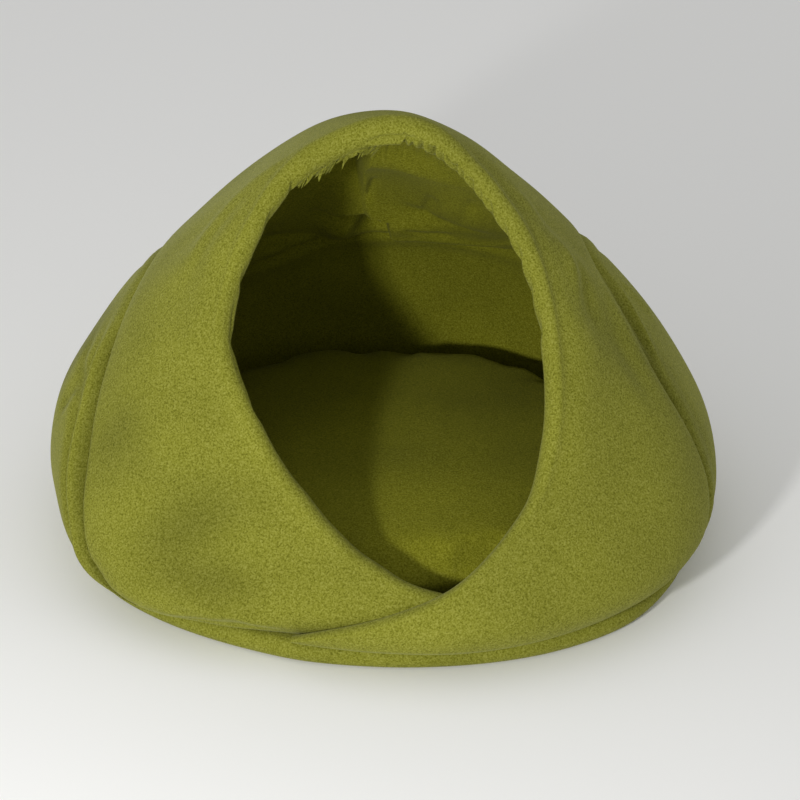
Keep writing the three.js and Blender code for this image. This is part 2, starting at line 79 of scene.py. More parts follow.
light_away = Vector((math.sin(LIGHT_TURN) * math.cos(LIGHT_RISE),
                     -math.cos(LIGHT_TURN) * math.cos(LIGHT_RISE), math.sin(LIGHT_RISE)))
key_light = bpy.data.objects.new("key_light", bpy.data.lights.new("key_light", "AREA"))
scene.collection.objects.link(key_light)
key_light.location = LIGHT_AIM + light_away * LIGHT_DISTANCE
key_light.rotation_euler = light_away.to_track_quat("Z", "Y").to_euler()
key_light.data.size = LIGHT_SIZE
key_light.data.energy = LIGHT_POWER

world = bpy.data.worlds.new("studio")
scene.world = world
world.use_nodes = True
room = world.node_tree.nodes["Background"]
room.inputs["Color"].default_value = (1, 1, 1, 1)
room.inputs["Strength"].default_value = ROOM_STRENGTH


def linear(hex_colour):
    """An sRGB hex colour as the linear colour that a shader takes."""
    parts = [int(hex_colour[i:i + 2], 16) / 255 for i in (1, 3, 5)]
    return [p / 12.92 if p <= 0.04045 else ((p + 0.055) / 1.055) ** 2.4 for p in parts] + [1.0]


# Matt painted board: a little dull, with no grain that shows at this distance.
painted_board = bpy.data.materials.new("painted_board_white")
painted_board.use_nodes = True
board_shader = painted_board.node_tree.nodes["Principled BSDF"]
board_shader.inputs["Base Color"].default_value = linear("#f6f6f4")
board_shader.inputs["Roughness"].default_value = 0.85

FLOOR_HALF = 4.0
floor_mesh = bpy.data.meshes.new("floor")
floor_mesh.from_pydata([(-FLOOR_HALF, -FLOOR_HALF, 0), (FLOOR_HALF, -FLOOR_HALF, 0),
                        (FLOOR_HALF, FLOOR_HALF, 0), (-FLOOR_HALF, FLOOR_HALF, 0)], [], [(0, 1, 2, 3)])
floor = bpy.data.objects.new("floor", floor_mesh)
scene.collection.objects.link(floor)
floor.data.materials.append(painted_board)

# The base: an oval pad of foam in a cover of brushed fleece, turned up to the walls and sewn to their foot
# all round. Its edge bulges a little, and the cover is drawn into small puckers under the seam.
MM = 0.001                                  # in this script lengths are in mm, unless they say metres
BASE_HALF_WIDTH = 239
BASE_HALF_DEPTH = 223
BASE_HEIGHT = 18.7
BASE_SIDES = 480
# Inset from the widest outline, and height.
BASE_PROFILE = [(215, 0), (150, 0), (80, 0), (40, 0), (18, 0), (11, 0), (7.5, 0.5), (4.6, 1.6), (2.4, 3.2),
                (0.9, 5.4), (0.1, 8.0), (0, 10.4), (0.4, 12.6), (1.2, 14.6), (2.5, 16.4), (4.2, 17.8),
                (6.4, 18.5), (9, 18.7), (14, 18.7), (24, 18.7), (60, 18.7), (140, 18.7), (215, 18.7)]
# How far the edge bulges past its oval where the filling has been pushed: degrees from the front to the
# right, and mm.
BASE_OUT = [
    (0, -2), (15, 3), (30, 10), (45, 15), (60, 11), (75, 4), (90, 3), (150, 1), (210, 5), (240, 4),
    (270, 0), (285, 3), (300, 7), (315, 2), (330, -3), (345, -3),
]
# Swells of the edge, and puckers under the seam: their height, how far they spread, how deep they are, and
# how wide one is.
EDGE_AT, EDGE_SPREAD, EDGE_SWELL, EDGE_WIDTH = 10, 6, 0.8, 34
PUCKER_AT, PUCKER_SPREAD, PUCKER_DEPTH, PUCKER_WIDTH = 17.5, 3, 0.5, 6

# The fleece's colours: at the tips of its curls, on them and between them.
GREEN_TIP = "#8f8f3f"
GREEN = "#7b7c28"
GREEN_ROOT = "#5d5e14"
SHEEN_TINT = "#d6d8a4"
# Its pile, in metres: the curls' width, how far they are pushed out of line and over what width, how high
# they stand, and the width of the patches in which the nap lies one way.
CURL_WIDTH = 0.0013
CURL_PUSH = 0.0022
PUSH_WIDTH = 0.004
PILE_HEIGHT = 0.0006
NAP_WIDTH = 0.07
# How dark the colour gets where the nap is flattened and where painted shade is laid on.
DARKEST_NAP_AND_SHADE = 0.62

# The bed is drawn round the middle of its own oval. The cushion's packed box shows where that is.
CUSHION_TOWARDS_BACK = 8
low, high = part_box("seat_cushion")
bed_middle = np.array([(low.x + high.x) / 2 / MM, (low.y + high.y) / 2 / MM - CUSHION_TOWARDS_BACK, 0])


def add_node(tree, kind, settings=None, links=None):
    """Adds a node. settings: values of its inputs or properties. links: the sockets that feed its inputs."""
    node = tree.nodes.new(kind)
    for key, value in (settings or {}).items():
        if isinstance(key, int) or key in node.inputs:
            node.inputs[key].default_value = value
        else:
            setattr(node, key, value)
    for key, socket in (links or {}).items():
        tree.links.new(socket, node.inputs[key])
    return node


def brushed_fleece(name, tip, middle, root, sheen=0.17):
    """Polyester fleece: a knitted cloth whose loops are brushed up on both faces and sheared short."""
    material = bpy.data.materials.new(name)
    material.use_nodes = True
    tree = material.node_tree
    shader = tree.nodes["Principled BSDF"]
    place = add_node(tree, "ShaderNodeTexCoord").outputs["Object"]
    # The loops of the knit, brushed into curls a little over a millimetre wide: pale at their tips, and deep
    # between them.
    drift = add_node(tree, "ShaderNodeTexNoise", {"Scale": 1 / PUSH_WIDTH, "Detail": 1.0}, {"Vector": place})
    pushed = add_node(tree, "ShaderNodeVectorMath", {"operation": "MULTIPLY_ADD", 1: (CURL_PUSH,) * 3},
                      {0: drift.outputs["Color"], 2: place})
    curls = add_node(tree, "ShaderNodeTexNoise", {"Scale": 1 / CURL_WIDTH, "Detail": 2.0, "Roughness": 0.6},
                     {"Vector": pushed.outputs[0]})
    shades = add_node(tree, "ShaderNodeValToRGB", None, {"Fac": curls.outputs["Fac"]})
    ramp = shades.color_ramp
    ramp.elements[0].position, ramp.elements[0].color = 0.30, linear(root)
    ramp.elements[1].position, ramp.elements[1].color = 0.70, linear(tip)
    ramp.elements.new(0.50).color = linear(middle)
    # Where the cloth has been stroked, the nap lies another way and looks a little darker.
    nap = add_node(tree, "ShaderNodeTexNoise", {"Scale": 1 / NAP_WIDTH, "Detail": 1.5, "Roughness": 0.5},
                   {"Vector": place})
    nap_shade = add_node(tree, "ShaderNodeMapRange",
                         {"From Min": 0.35, "From Max": 0.65, "To Min": 0.92, "To Max": 1.03},
                         {"Value": nap.outputs["Fac"]})
    # The attribute darkens the colour: on the hood it is flattened nap in the dents and painted shade of the
    # dents, on the back painted shade beside the seam and in its folds. It is 0 where nothing is darkened.
    pressed = add_node(tree, "ShaderNodeAttribute", {"attribute_name": "pressed"})
    nap_and_shade_tone = add_node(tree, "ShaderNodeMapRange", {"To Min": 1.0, "To Max": DARKEST_NAP_AND_SHADE},
                          {"Value": pressed.outputs["Fac"]})
    both_shades = add_node(tree, "ShaderNodeMath", {"operation": "MULTIPLY"},
                           {0: nap_shade.outputs["Result"], 1: nap_and_shade_tone.outputs["Result"]})
    colour = add_node(tree, "ShaderNodeMix", {"data_type": "RGBA", "blend_type": "MULTIPLY", 0: 1.0},
                      {6: shades.outputs["Color"], 7: both_shades.outputs["Value"]})
    pile = add_node(tree, "ShaderNodeBump", {"Strength": 0.8, "Distance": PILE_HEIGHT},
                    {"Height": curls.outputs["Fac"]})
    tree.links.new(colour.outputs[2], shader.inputs["Base Color"])
    tree.links.new(pile.outputs["Normal"], shader.inputs["Normal"])
    shader.inputs["Roughness"].default_value = 0.95
    shader.inputs["Specular IOR Level"].default_value = 0.1
    # The fine loose fibres on top catch a pale light where the cloth turns away.
    shader.inputs["Sheen Weight"].default_value = sheen
    shader.inputs["Sheen Roughness"].default_value = 0.45
    shader.inputs["Sheen Tint"].default_value = linear(SHEEN_TINT)
    return material


outer_fleece = brushed_fleece("polyester_fleece_brushed_lime", GREEN_TIP, GREEN, GREEN_ROOT)


def hump(distance, half_width):
    """1 at the middle, a half at half_width and nothing at twice that."""
    return np.exp2(-(distance / half_width) ** 2)


def rise_between(value, low_end, high_end):
    """0 below low_end, 1 above high_end, and a soft step between."""
    t = np.clip((value - low_end) / (high_end - low_end), 0, 1)
    return t * t * (3 - 2 * t)


def soft_lumps(points, width, seed):
    """Uneven filling: a smooth swell between -1 and 1 whose lumps are about this wide."""
    random = np.random.default_rng(seed)
    total = np.zeros(points.shape[:-1])
    waves = 9
    for _ in range(waves):
        way = random.normal(size=3)
        way *= 2 * np.pi / (2 * width * random.uniform(0.75, 1.5)) / np.linalg.norm(way)
        total += np.sin(points @ way + random.uniform(0, 2 * np.pi))
    return total / math.sqrt(waves / 2) / 2


SHARP_ANGLE = math.radians(50)


def closed_mesh(name, points, faces, material):
    """A smooth object from points in the bed's own millimetres; its place is in its mesh."""
    mesh = bpy.data.meshes.new(name)
    mesh.from_pydata(((points.reshape(-1, 3) + bed_middle) * MM).tolist(), [], faces)
    mesh.polygons.foreach_set("use_smooth", [True] * len(mesh.polygons))
    mesh.set_sharp_from_angle(angle=SHARP_ANGLE)
    mesh.materials.append(material)
    piece = bpy.data.objects.new(name, mesh)
    scene.collection.objects.link(piece)
    return piece


def read_rows(rows, turn, closed=False):
    """The columns of a table at these turns: smooth, with the slope at a row that its neighbours give."""
    rows = np.array(rows, float)
    at, values = rows[:, 0], rows[:, 1:]
    turn = np.asarray(turn, float)
    if closed:
        turn = (turn - at[0]) % 360 + at[0]
        at = np.concatenate([at[-1:] - 360, at, at[:2] + 360])
        values = np.concatenate([values[-1:], values, values[:2]])
    slope = np.empty_like(values)
    slope[1:-1] = (values[2:] - values[:-2]) / (at[2:] - at[:-2])[:, None]
    slope[0] = (values[1] - values[0]) / (at[1] - at[0])
    slope[-1] = (values[-1] - values[-2]) / (at[-1] - at[-2])
    i = np.clip(np.searchsorted(at, turn, side="right") - 1, 0, len(at) - 2)
    step = (at[i + 1] - at[i])[..., None]
    t = np.clip((turn - at[i])[..., None] / step, 0, 1)
    return ((2 * t ** 3 - 3 * t ** 2 + 1) * values[i] + (t ** 3 - 2 * t ** 2 + t) * slope[i] * step
            + (3 * t ** 2 - 2 * t ** 3) * values[i + 1] + (t ** 3 - t ** 2) * slope[i + 1] * step)


def oval_rings(half_width, half_depth, middle_y, profile, sides, bulges=((0, 0), (180, 0))):
    """Rings of a padded oval, from its underside to its top. The bulges fade towards the middle."""
    angle = np.linspace(0, 2 * np.pi, sides, endpoint=False)
    inset = np.array([row[0] for row in profile])[:, None]
    height = np.array([row[1] for row in profile])[:, None]
    out = read_rows(bulges, np.degrees(angle) + 90, closed=True)[:, 0] * (1 - inset / inset.max())
    return np.stack([(half_width + out - inset) * np.cos(angle),
                     middle_y + (half_depth + out - inset) * np.sin(angle), height + 0 * angle], axis=-1)


def oval_faces(ring_count, sides):
    """Quads between the rings, and a fan of triangles to the middle point at either side."""
    ring, side = np.meshgrid(np.arange(ring_count - 1), np.arange(sides), indexing="ij")
    beside = (side + 1) % sides
    quads = np.stack([ring * sides + side, ring * sides + beside, (ring + 1) * sides + beside,
                      (ring + 1) * sides + side], axis=-1).reshape(-1, 4).tolist()
    bottom, top = ring_count * sides, ring_count * sides + 1
    last = (ring_count - 1) * sides
    for i in range(sides):
        j = (i + 1) % sides
        quads.append([bottom, j, i])
        quads.append([top, last + i, last + j])
    return quads


base_points = oval_rings(BASE_HALF_WIDTH, BASE_HALF_DEPTH, 0, BASE_PROFILE, BASE_SIDES, BASE_OUT)
outwards = base_points * (1, 1, 0)
outwards /= np.linalg.norm(outwards, axis=-1, keepdims=True)
at_edge = hump(base_points[..., 2] - EDGE_AT, EDGE_SPREAD)
under_seam = hump(base_points[..., 2] - PUCKER_AT, PUCKER_SPREAD)
swell = EDGE_SWELL * at_edge * (soft_lumps(base_points, EDGE_WIDTH, 1) - 0.5)
base_points += outwards * swell[..., None]
drawn_in = PUCKER_DEPTH * under_seam * (soft_lumps(base_points, PUCKER_WIDTH, 2) + 1)
base_points -= outwards * drawn_in[..., None]
base_ends = np.array([[0, 0, 0], [0, 0, BASE_HEIGHT]])
base = closed_mesh("padded_base", np.concatenate([base_points.reshape(-1, 3), base_ends]),
                   oval_faces(len(BASE_PROFILE), BASE_SIDES), outer_fleece)
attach(base, "root")
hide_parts("base_pad")

# The hood: one long pad of foam in a cover of brushed fleece, cut in a curve, rolled over at the rim and
# sewn to the base by its foot. It runs right round the mouth; its right front end lies over its left one.
FOOT_HALF_WIDTH = 244
FOOT_HALF_DEPTH = 229
FOOT_HEIGHT = 19.0
WALL_THICKNESS = 17
SEWN_GAP = 0.3
LINING_THICKNESS = 2.5
LINING_GAP = 0.8
# The band of the hood's own cloth that is turned in at the rim. It narrows towards the hood's two ends.
FACING_WIDTH = 25
FACING_MOST_OF_HOOD = 0.4
FACING_THICKNESS = LINING_THICKNESS + 1
FACING_STEP = 1.2
RIM_ROUND = 9                               # how far the rolled rim stands out past the last section

# Sections of the walls' outer face, turned about the upright axis: degrees from the front to the right; the
# mouth's edge there (x, y, z); the wall's slope at that edge; the foot's lean out from upright; how long it
# keeps those two directions, as shares of the line from foot to edge (foot, edge); and how far the foot
# stands out past its plain oval.
SECTIONS = [
    (0, 25, -205, 85, 63, 33, 0.40, 0.34, -2),
    (15, 72, -199, 92, 63, 36, 0.41, 0.35, 5),
    (30, 109, -181, 114, 63, 45, 0.43, 0.36, 7),
    (45, 126, -149, 151, 62, 60, 0.44, 0.37, 5),
    (60, 129, -113, 199, 62, 60, 0.41, 0.36, 1),
    (75, 117, -76, 253, 59, 47, 0.35, 0.34, -3),
    (90, 92, -46, 289, 53, 27, 0.31, 0.34, 4),
    (120, 65, -26, 316, 37, 18, 0.28, 0.36, 4),
    (150, 37, -15, 332, 23, 12, 0.26, 0.38, 1),
    (180, 10, -10, 337, 13, 7, 0.25, 0.40, 3),
    (210, -20, -13, 333, 15, 12, 0.25, 0.39, 7),
    (240, -60, -24, 317, 31, 22, 0.28, 0.36, 5),
    (270, -88, -43, 297, 46, 37, 0.32, 0.34, -1),
    (285, -113, -77, 255, 53, 45, 0.35, 0.34, -3),
    (300, -122, -110, 201, 57, 55, 0.40, 0.35, 1),
    (315, -97, -150, 153, 60, 56, 0.42, 0.35, 6),
    (330, -65, -177, 111, 61, 47, 0.42, 0.34, -3),
    (345, -20, -196, 91, 63, 38, 0.41, 0.34, -6),
]

# Along the hood, from its right end in front of the middle round to its tucked left end: the share of the
# section that it covers, its thickness, and how far it lies inside the right end that covers it.
HOOD_RUN = [
    (-16, 0.05, 6, 0),
    (-8, 0.25, 7, 0),
    (0, 0.44, 9, 0),
    (8, 0.63, 10.5, 0),
    (15, 0.83, 12, 0),
    (22, 0.96, 14, 0),
    (30, 1, 16, 0),
    (45, 1, WALL_THICKNESS, 0),
    (312, 1, WALL_THICKNESS, 0),
    (321, 1, WALL_THICKNESS, 1),
    (330, 1, WALL_THICKNESS, 4),
    (338, 0.94, 16, 8.5),
    (345, 0.87, 15, 12),
    (352, 0.80, 14, 13),
    (360, 0.67, 12, 14.8),
    (368, 0.53, 11, 16.5),
    (378, 0.36, 10, 18.8),
    (386, 0.21, 9, 21),
    (392, 0.10, 9, 22.2),
]

# The seam between hood and back panel: the share of each section below it.
SEAM = [
    (56, 0), (62, 0.09), (66, 0.18), (70, 0.29), (74, 0.43), (78, 0.53), (85, 0.61), (97, 0.67), (112, 0.66),
    (130, 0.57), (155, 0.46), (180, 0.43), (205, 0.44), (230, 0.52), (250, 0.60), (264, 0.60), (279, 0.55),
    (290, 0.47), (296, 0.41), (301, 0.33), (306, 0.21), (312, 0.09), (318, 0),
]

# How the cover is drawn in where it is sewn: the dip along the seam and its half width, the depth and reach
# of the stitches' own pull, the same at the foot, and the height and reach of the seam's small gathers.
SEAM_DIP, SEAM_DIP_WIDTH = 2, 9
STITCH_DEPTH, STITCH_REACH = 2.6, 2.6
FOOT_DEPTH, FOOT_REACH = 3.2, 4
HOOD_GATHER, GATHER_REACH = 0.15, 9
# Low uneven swells of the filling: their height, how wide one is, and over what they fade at the edge.
FILLING_SWELL, HOOD_SWELL_WIDTH, HOOD_SWELL_FADE = 0.9, 42, 25
# The dip fades where the seam comes down to the base, and all swells fade above the foot.
SEAM_FADE = (60, 150)
FLAT_BELOW = 30
# Past the seam's two lower ends its stitches' pull fades over these degrees.
SEAM_END_FADE = 8
# Beside the arch, from these degrees to these, the cover is drawn flatter just outside the rim: by how much,
# over what half width, and how long the hood has to be there.
ARCH_MIDDLE, ARCH_SIDES = 185, (35, 75)
RIM_DRAWN, RIM_DRAWN_WIDTH, RIM_DRAWN_LENGTHS = 4, 13, (60, 140)

# Broad dents and swells of the padding: degrees, mm up from the foot, mm out, half widths round and up.
HOOD_DENTS = [
    (296, 112, -4, 30, 34),
    (316, 108, -6, 30, 34),
    (321, 62, -5, 34, 24),
    (306, 152, 4, 34, 36),
    (277, 268, 4, 22, 34),
    (86, 268, 4, 22, 36),
    (76, 205, -4, 18, 46),
    (58, 110, 3, 40, 40),
    (200, 300, 4, 60, 40),
    (0, 45, 5, 70, 30),
]

# Where the hood's nap is flattened in its dents, with painted shade of the dents laid on too: the same
# columns, with how much (0 to 1).
HOOD_FLAT_NAP_AND_SHADE = [
    (317, 98, 0.85, 24, 32),
    (326, 48, 0.60, 30, 18),
    (295, 130, 0.55, 16, 26),
    (306, 125, 0.25, 26, 16),
    (79, 196, 0.35, 12, 40),
    (74, 120, 0.25, 14, 50),
]

# Where the rim's hem is sewn down behind its roll: how deep the groove beside it is, by degrees.
HEM_GROOVE = [(154, 0), (162, 1.8), (180, 3.2), (196, 3.0), (205, 1.6), (214, 0), (290, 0), (296, 1.6),
              (308, 2.0), (316, 1.0), (322, 0)]
# Gathers of the hem: degrees, mm deep, half width in degrees, and how far they lean to the right.
HEM_NOTCHES = [(171, 2.6, 2.0, -3.0), (163, 1.6, 2.0, 1.0), (153, 2.0, 1.8, 1.5), (142, 4.2, 1.6, 3.0),
               (133, 1.8, 1.8, 2.0), (123, 4.4, 1.6, 5.0), (114, 2.0, 1.6, 2.0), (105, 3.0, 1.6, 2.5),
               (97, 1.6, 1.4, 1.5), (91, 2.4, 1.5, 1.5), (84, 1.4, 1.3, 1.0), (78, 2.2, 1.4, 1.0),
               (71, 1.2, 1.4, 0.5), (64, 1.6, 1.4, 0), (264, 1.6, 1.6, 0), (276, 1.4, 1.5, 0),
               (288, 1.6, 1.5, 0), (300, 1.4, 1.5, 0), (312, 1.0, 1.6, 0)]
# Places round the rim's roll, in degrees from its outer side: the groove of the hem's stitches and the swell
# beside it, each with a half width; where the gathers begin and are full; and where their lean is counted
# from, and over how much.
GROOVE_AT, GROOVE_WIDTH = 116, 8
SWELL_AT, SWELL_WIDTH = 142, 16
GATHERS_FROM, GATHERS_FULL = 108, 132
LEAN_FROM, LEAN_OVER = 150, 45
FACE_EDGE = 7                               # how far, in mm, the relief goes on over the facing

# Soft ridges and creases of the hood's cover: mm out, half width, and where each runs (degrees, mm up).
HOOD_FOLDS = [
    (2.4, 7, [(281, 246), (277, 268), (266, 313), (255, 349), (239, 386), (219, 409)]),
    (-1.8, 8, [(286, 232), (282, 250), (273, 298), (262, 333), (246, 371), (228, 396)]),
    (2.2, 7, [(112, 351), (97, 314), (91, 285), (80, 255), (73, 233)]),
    (-2.2, 7, [(104, 322), (93, 290), (86, 262), (78, 236), (73, 212)]),
    (-2.0, 9, [(92, 240), (86, 222), (81, 206), (76, 187), (72, 160), (69, 130)]),
    (1.4, 12, [(99, 285), (84, 263), (75, 240), (68, 217), (62, 190), (58, 160)]),
    (3.2, 5, [(321, 30), (328, 26), (331, 24), (335, 22), (338, 17), (343, 12)]),
    (-2.6, 4, [(321, 8), (327, 10), (333, 12), (337, 10), (342, 7), (347, 8)]),
    (2.0, 4, [(320, 14), (325, 17), (330, 18), (334, 14)]),
    (-1.6, 7, [(300, 20), (310, 34), (318, 40), (326, 38)]),
]


def section_controls(turn):
    """The four control points of the section at each turn."""
    row = read_rows(SECTIONS, turn, closed=True)
    x, y, z, slope, lean, foot_keep, edge_keep, foot_out = np.moveaxis(row, -1, 0)
    angle = np.radians(turn)
    out = np.stack([np.sin(angle), -np.cos(angle), 0 * angle], axis=-1)
    foot = out * (FOOT_HALF_WIDTH, FOOT_HALF_DEPTH, 0) + out * foot_out[..., None] + (0, 0, FOOT_HEIGHT)
    edge = np.stack([x, y, z], axis=-1)
    reach = np.linalg.norm(edge - foot, axis=-1)
    level = (edge - foot) * (1, 1, 0)
    level /= np.linalg.norm(level, axis=-1, keepdims=True)
    slope, lean = np.radians(slope)[..., None], np.radians(lean)[..., None]
    upright = np.array([0, 0, 1.0])
    from_foot = foot + (foot_keep * reach)[..., None] * (np.sin(lean) * out + np.cos(lean) * upright)
    to_edge = edge - (edge_keep * reach)[..., None] * (np.cos(slope) * level + np.sin(slope) * upright)
    return np.stack([foot, from_foot, to_edge, edge], axis=-2)


def on_section(controls, share):
    """Points and directions along sections, at shares of their curves. controls: (turns, 4, 3)."""
    s = share[..., None]
    a, b, c, d = (controls[:, None, k] for k in range(4))
    point = (1 - s) ** 3 * a + 3 * (1 - s) ** 2 * s * b + 3 * (1 - s) * s ** 2 * c + s ** 3 * d
    way = (1 - s) ** 2 * (b - a) + 2 * (1 - s) * s * (c - b) + s ** 2 * (d - c)
    return point, way / np.linalg.norm(way, axis=-1, keepdims=True)


SECTION_STEPS = 61
even_shares = np.linspace(0, 1, SECTION_STEPS)


def lengths_along(turn):
    """How long each section is up to each of the even shares."""
    point, _ = on_section(section_controls(turn), np.tile(even_shares, (len(turn), 1)))
    return np.concatenate([np.zeros((len(turn), 1)),
                           np.cumsum(np.linalg.norm(np.diff(point, axis=1), axis=-1), axis=1)], axis=1)


def length_at(turn, share):
    return np.array([np.interp(s, even_shares, row) for s, row in zip(share, lengths_along(turn))])


# Towards the foot the way out turns level, so that a thick wall still stands flat on the base.
LEVEL_BELOW = 90
TURN_STEP = 0.5


def wall_places(turn, length):
    """Points of the walls' outer face and the ways up and out there. length: (turns, rows), in mm."""
    share = np.array([np.interp(row, known, even_shares) for row, known in zip(length, lengths_along(turn))])
    point, upward = on_section(section_controls(turn), share)
    before, after = (on_section(section_controls(turn + step), share)[0] for step in (-TURN_STEP, TURN_STEP))
    outward = np.cross(after - before, upward)
    outward /= np.linalg.norm(outward, axis=-1, keepdims=True)
    outward[..., 2] *= rise_between(length, 0, LEVEL_BELOW)
    return point, upward, outward / np.linalg.norm(outward, axis=-1, keepdims=True)


POINTS_AT_ONCE = 6000


def near_line(points, line):
    """For each point: its distance from a line of points, and how far along the line it lies."""
    start, span = line[:-1], np.diff(line, axis=0)
    long = np.maximum((span ** 2).sum(-1), 1e-9)
    walked = np.concatenate([[0], np.cumsum(np.sqrt(long))])
    flat = points.reshape(-1, 3)
    distance, along = np.empty(len(flat)), np.empty(len(flat))
    for first in range(0, len(flat), POINTS_AT_ONCE):
        batch = slice(first, first + POINTS_AT_ONCE)
        rel = flat[batch, None] - start
        t = np.clip((rel * span).sum(-1) / long, 0, 1)
        gap = np.linalg.norm(rel - t[..., None] * span, axis=-1)
        best = gap.argmin(1)
        pick = np.arange(len(best))
        distance[batch] = gap[pick, best]
        along[batch] = walked[best] + t[pick, best] * np.sqrt(long[best])
    return distance.reshape(points.shape[:-1]), along.reshape(points.shape[:-1])


seam_start, seam_end = SEAM[0][0], SEAM[-1][0]


def seam_length(turn):
    turn = np.clip(turn, seam_start, seam_end)
    return length_at(turn, np.maximum(read_rows(SEAM, turn)[:, 0], 0))


SEAM_STEPS = 241
SEAM_PROBE = 0.25
seam_turns = np.linspace(seam_start, seam_end, SEAM_STEPS)
seam_line = wall_places(seam_turns, seam_length(seam_turns)[:, None])[0][:, 0]


def seam_margin(turn):
    """How much of the section is left free at the seam: more where the seam runs steeply."""
    a, b = (wall_places(at, seam_length(at)[:, None])[0][:, 0]
            for at in (turn - SEAM_PROBE, turn + SEAM_PROBE))
    climb = np.abs(b[:, 2] - a[:, 2]) / np.hypot(b[:, 0] - a[:, 0], b[:, 1] - a[:, 1])
    return SEWN_GAP * np.hypot(1, climb)


FOLD_END = 0.3
STEPS_BETWEEN_MARKS = 12


def folded(points, folds):
    """The height of the ridges and creases at points of the wall. They die away at both ends."""
    height = np.zeros(points.shape[:-1])
    for out, half_width, marks in folds:
        marks = np.array(marks, float)
        steps = np.linspace(0, len(marks) - 1, STEPS_BETWEEN_MARKS * len(marks))
        rows = read_rows(np.column_stack([np.arange(len(marks)), marks]), steps)
        line = wall_places(rows[:, 0], rows[:, 1:])[0][:, 0]
        distance, along = near_line(points, line)
        whole = np.linalg.norm(np.diff(line, axis=0), axis=-1).sum()
        ends = rise_between(along, 0, FOLD_END * whole) * rise_between(whole - along, 0, FOLD_END * whole)
        height += out * hump(distance, half_width) * ends
    return height


def dented(turn, length, dents):
    """The height of broad dents and swells. turn: (turns, 1), length: (turns, rows)."""
    round_mm = math.radians(1) * (FOOT_HALF_WIDTH + FOOT_HALF_DEPTH) / 2
    height = np.zeros(length.shape)
    for at, up, out, half_round, half_up in dents:
        apart = (turn - at + 180) % 360 - 180
        height += out * hump(apart * round_mm, half_round) * hump(length - up, half_up)
    return height


GATHERS_APART = (7, 16)
GATHER_WAVES, GATHER_SUM = 5, 2.2           # waves that are added up, and a usual height of their sum


def puckered(along, distance, reach, seed):
    """Small gathers beside a seam, between about -1 and 1. They fade away from it."""
    random = np.random.default_rng(seed)
    gathers = sum(np.sin(2 * np.pi * along / random.uniform(*GATHERS_APART) + random.uniform(0, 2 * np.pi))
                  for _ in range(GATHER_WAVES))
    return gathers / GATHER_SUM * np.exp(-distance / reach)


# The first rows lie close together, in mm from the edge. On a short section they keep to a share of it.
CLOSE_ROWS = np.array([0, 0.7, 1.6, 2.8, 4.4, 6.6])
CLOSE_SHARE = 0.12


def edge_rows(span, count):
    """Rows over a span: close together at the lower edge, where it rolls in to the stitches, then even."""
    close = CLOSE_ROWS / max(span, CLOSE_ROWS[-1] / CLOSE_SHARE)
    return np.concatenate([close[:-1], np.linspace(close[-1], 1, count - len(close) + 1)]) * span


def panel_faces(sections, ring_size, outer_count):
    """Quads between the rings of a padded panel, and a strip of triangles that closes either end."""
    i, j = np.meshgrid(np.arange(sections - 1), np.arange(ring_size), indexing="ij")
    above = (j + 1) % ring_size
    faces = np.stack([i * ring_size + j, (i + 1) * ring_size + j, (i + 1) * ring_size + above,
                      i * ring_size + above], axis=-1).reshape(-1, 4).tolist()
    last = (sections - 1) * ring_size
    outer, inner = 0, ring_size - 1
    while inner - outer > 1:
        done_outer = outer / outer_count
        done_inner = (ring_size - 1 - inner) / (ring_size - outer_count)
        if done_outer <= done_inner:
            faces.append([outer, outer + 1, inner])
            faces.append([last + inner, last + outer + 1, last + outer])
            outer += 1
        else:
            faces.append([outer, inner - 1, inner])
            faces.append([last + inner, last + inner - 1, last + outer])
            inner -= 1
    return faces


HOOD_STATIONS = 540
HOOD_OUTER_ROWS = 104
HOOD_INNER_ROWS = 22
ROLL_STEPS = 24

hood_turns = np.linspace(HOOD_RUN[0][0], HOOD_RUN[-1][0], HOOD_STATIONS)
hood_reach, hood_thickness, _ = read_rows(HOOD_RUN, hood_turns).T
hood_tuck = np.interp(hood_turns, [row[0] for row in HOOD_RUN], [row[3] for row in HOOD_RUN])
over_seam = (hood_turns > seam_start) & (hood_turns < seam_end)
hood_from = np.where(over_seam, seam_length(hood_turns) + seam_margin(hood_turns), 0)
hood_to = length_at(hood_turns, hood_reach)
facing_width = np.minimum(FACING_WIDTH, FACING_MOST_OF_HOOD * (hood_to - hood_from))


def hood_swell(turn, length, points):
    """How far the hood's padding stands out or in, without the small folds of its cover."""
    distance, _ = near_line(points, seam_line)
    fade = rise_between(seam_length(turn[:, 0]), *SEAM_FADE)[:, None]
    dip = SEAM_DIP * hump(distance, SEAM_DIP_WIDTH) * fade
    return (dented(turn, length, HOOD_DENTS) - dip) * rise_between(length, 0, FLAT_BELOW)


def hem_relief(turn, over):
    """How far the rim's roll stands out or in, for each turn, at these degrees round it from outside."""
    groove = read_rows(HEM_GROOVE, turn)
    relief = groove * (0.5 * hump(over - SWELL_AT, SWELL_WIDTH) - hump(over - GROOVE_AT, GROOVE_WIDTH))
    for at, deep, half_width, lean in HEM_NOTCHES:
        apart = turn[:, None] - at + lean * (over - LEAN_FROM) / LEAN_OVER
        relief -= deep * hump(apart, half_width) * rise_between(over, GATHERS_FROM, GATHERS_FULL)
    return relief


def ring_points(turn, outer_length, outer_height, inner_length, inner_depth, round_over):
    """Rings of a padded panel: up the outer face, over its edge if it is rolled, and down the inner face."""
    point, upward, outward = wall_places(turn, outer_length)
    outer = point + outward * outer_height[..., None]
    point, _, outward = wall_places(turn, inner_length)
    inner = point - outward * inner_depth[..., None]
    if round_over is None:
        return np.concatenate([outer, inner], axis=1)
    over = np.arange(1, ROLL_STEPS) * 180 / ROLL_STEPS
    angle = np.radians(over)[:, None]
    start, end, top = outer[:, -1:], inner[:, :1], upward[:, -1:]
    roll = (end - start) * -np.cos(angle) / 2 + top * np.sin(angle) * round_over[:, None, None]
    roll *= 1 + (hem_relief(turn, over) / np.linalg.norm(roll, axis=-1))[..., None]
    roll += (start + end) / 2
    return np.concatenate([outer, roll, inner], axis=1)


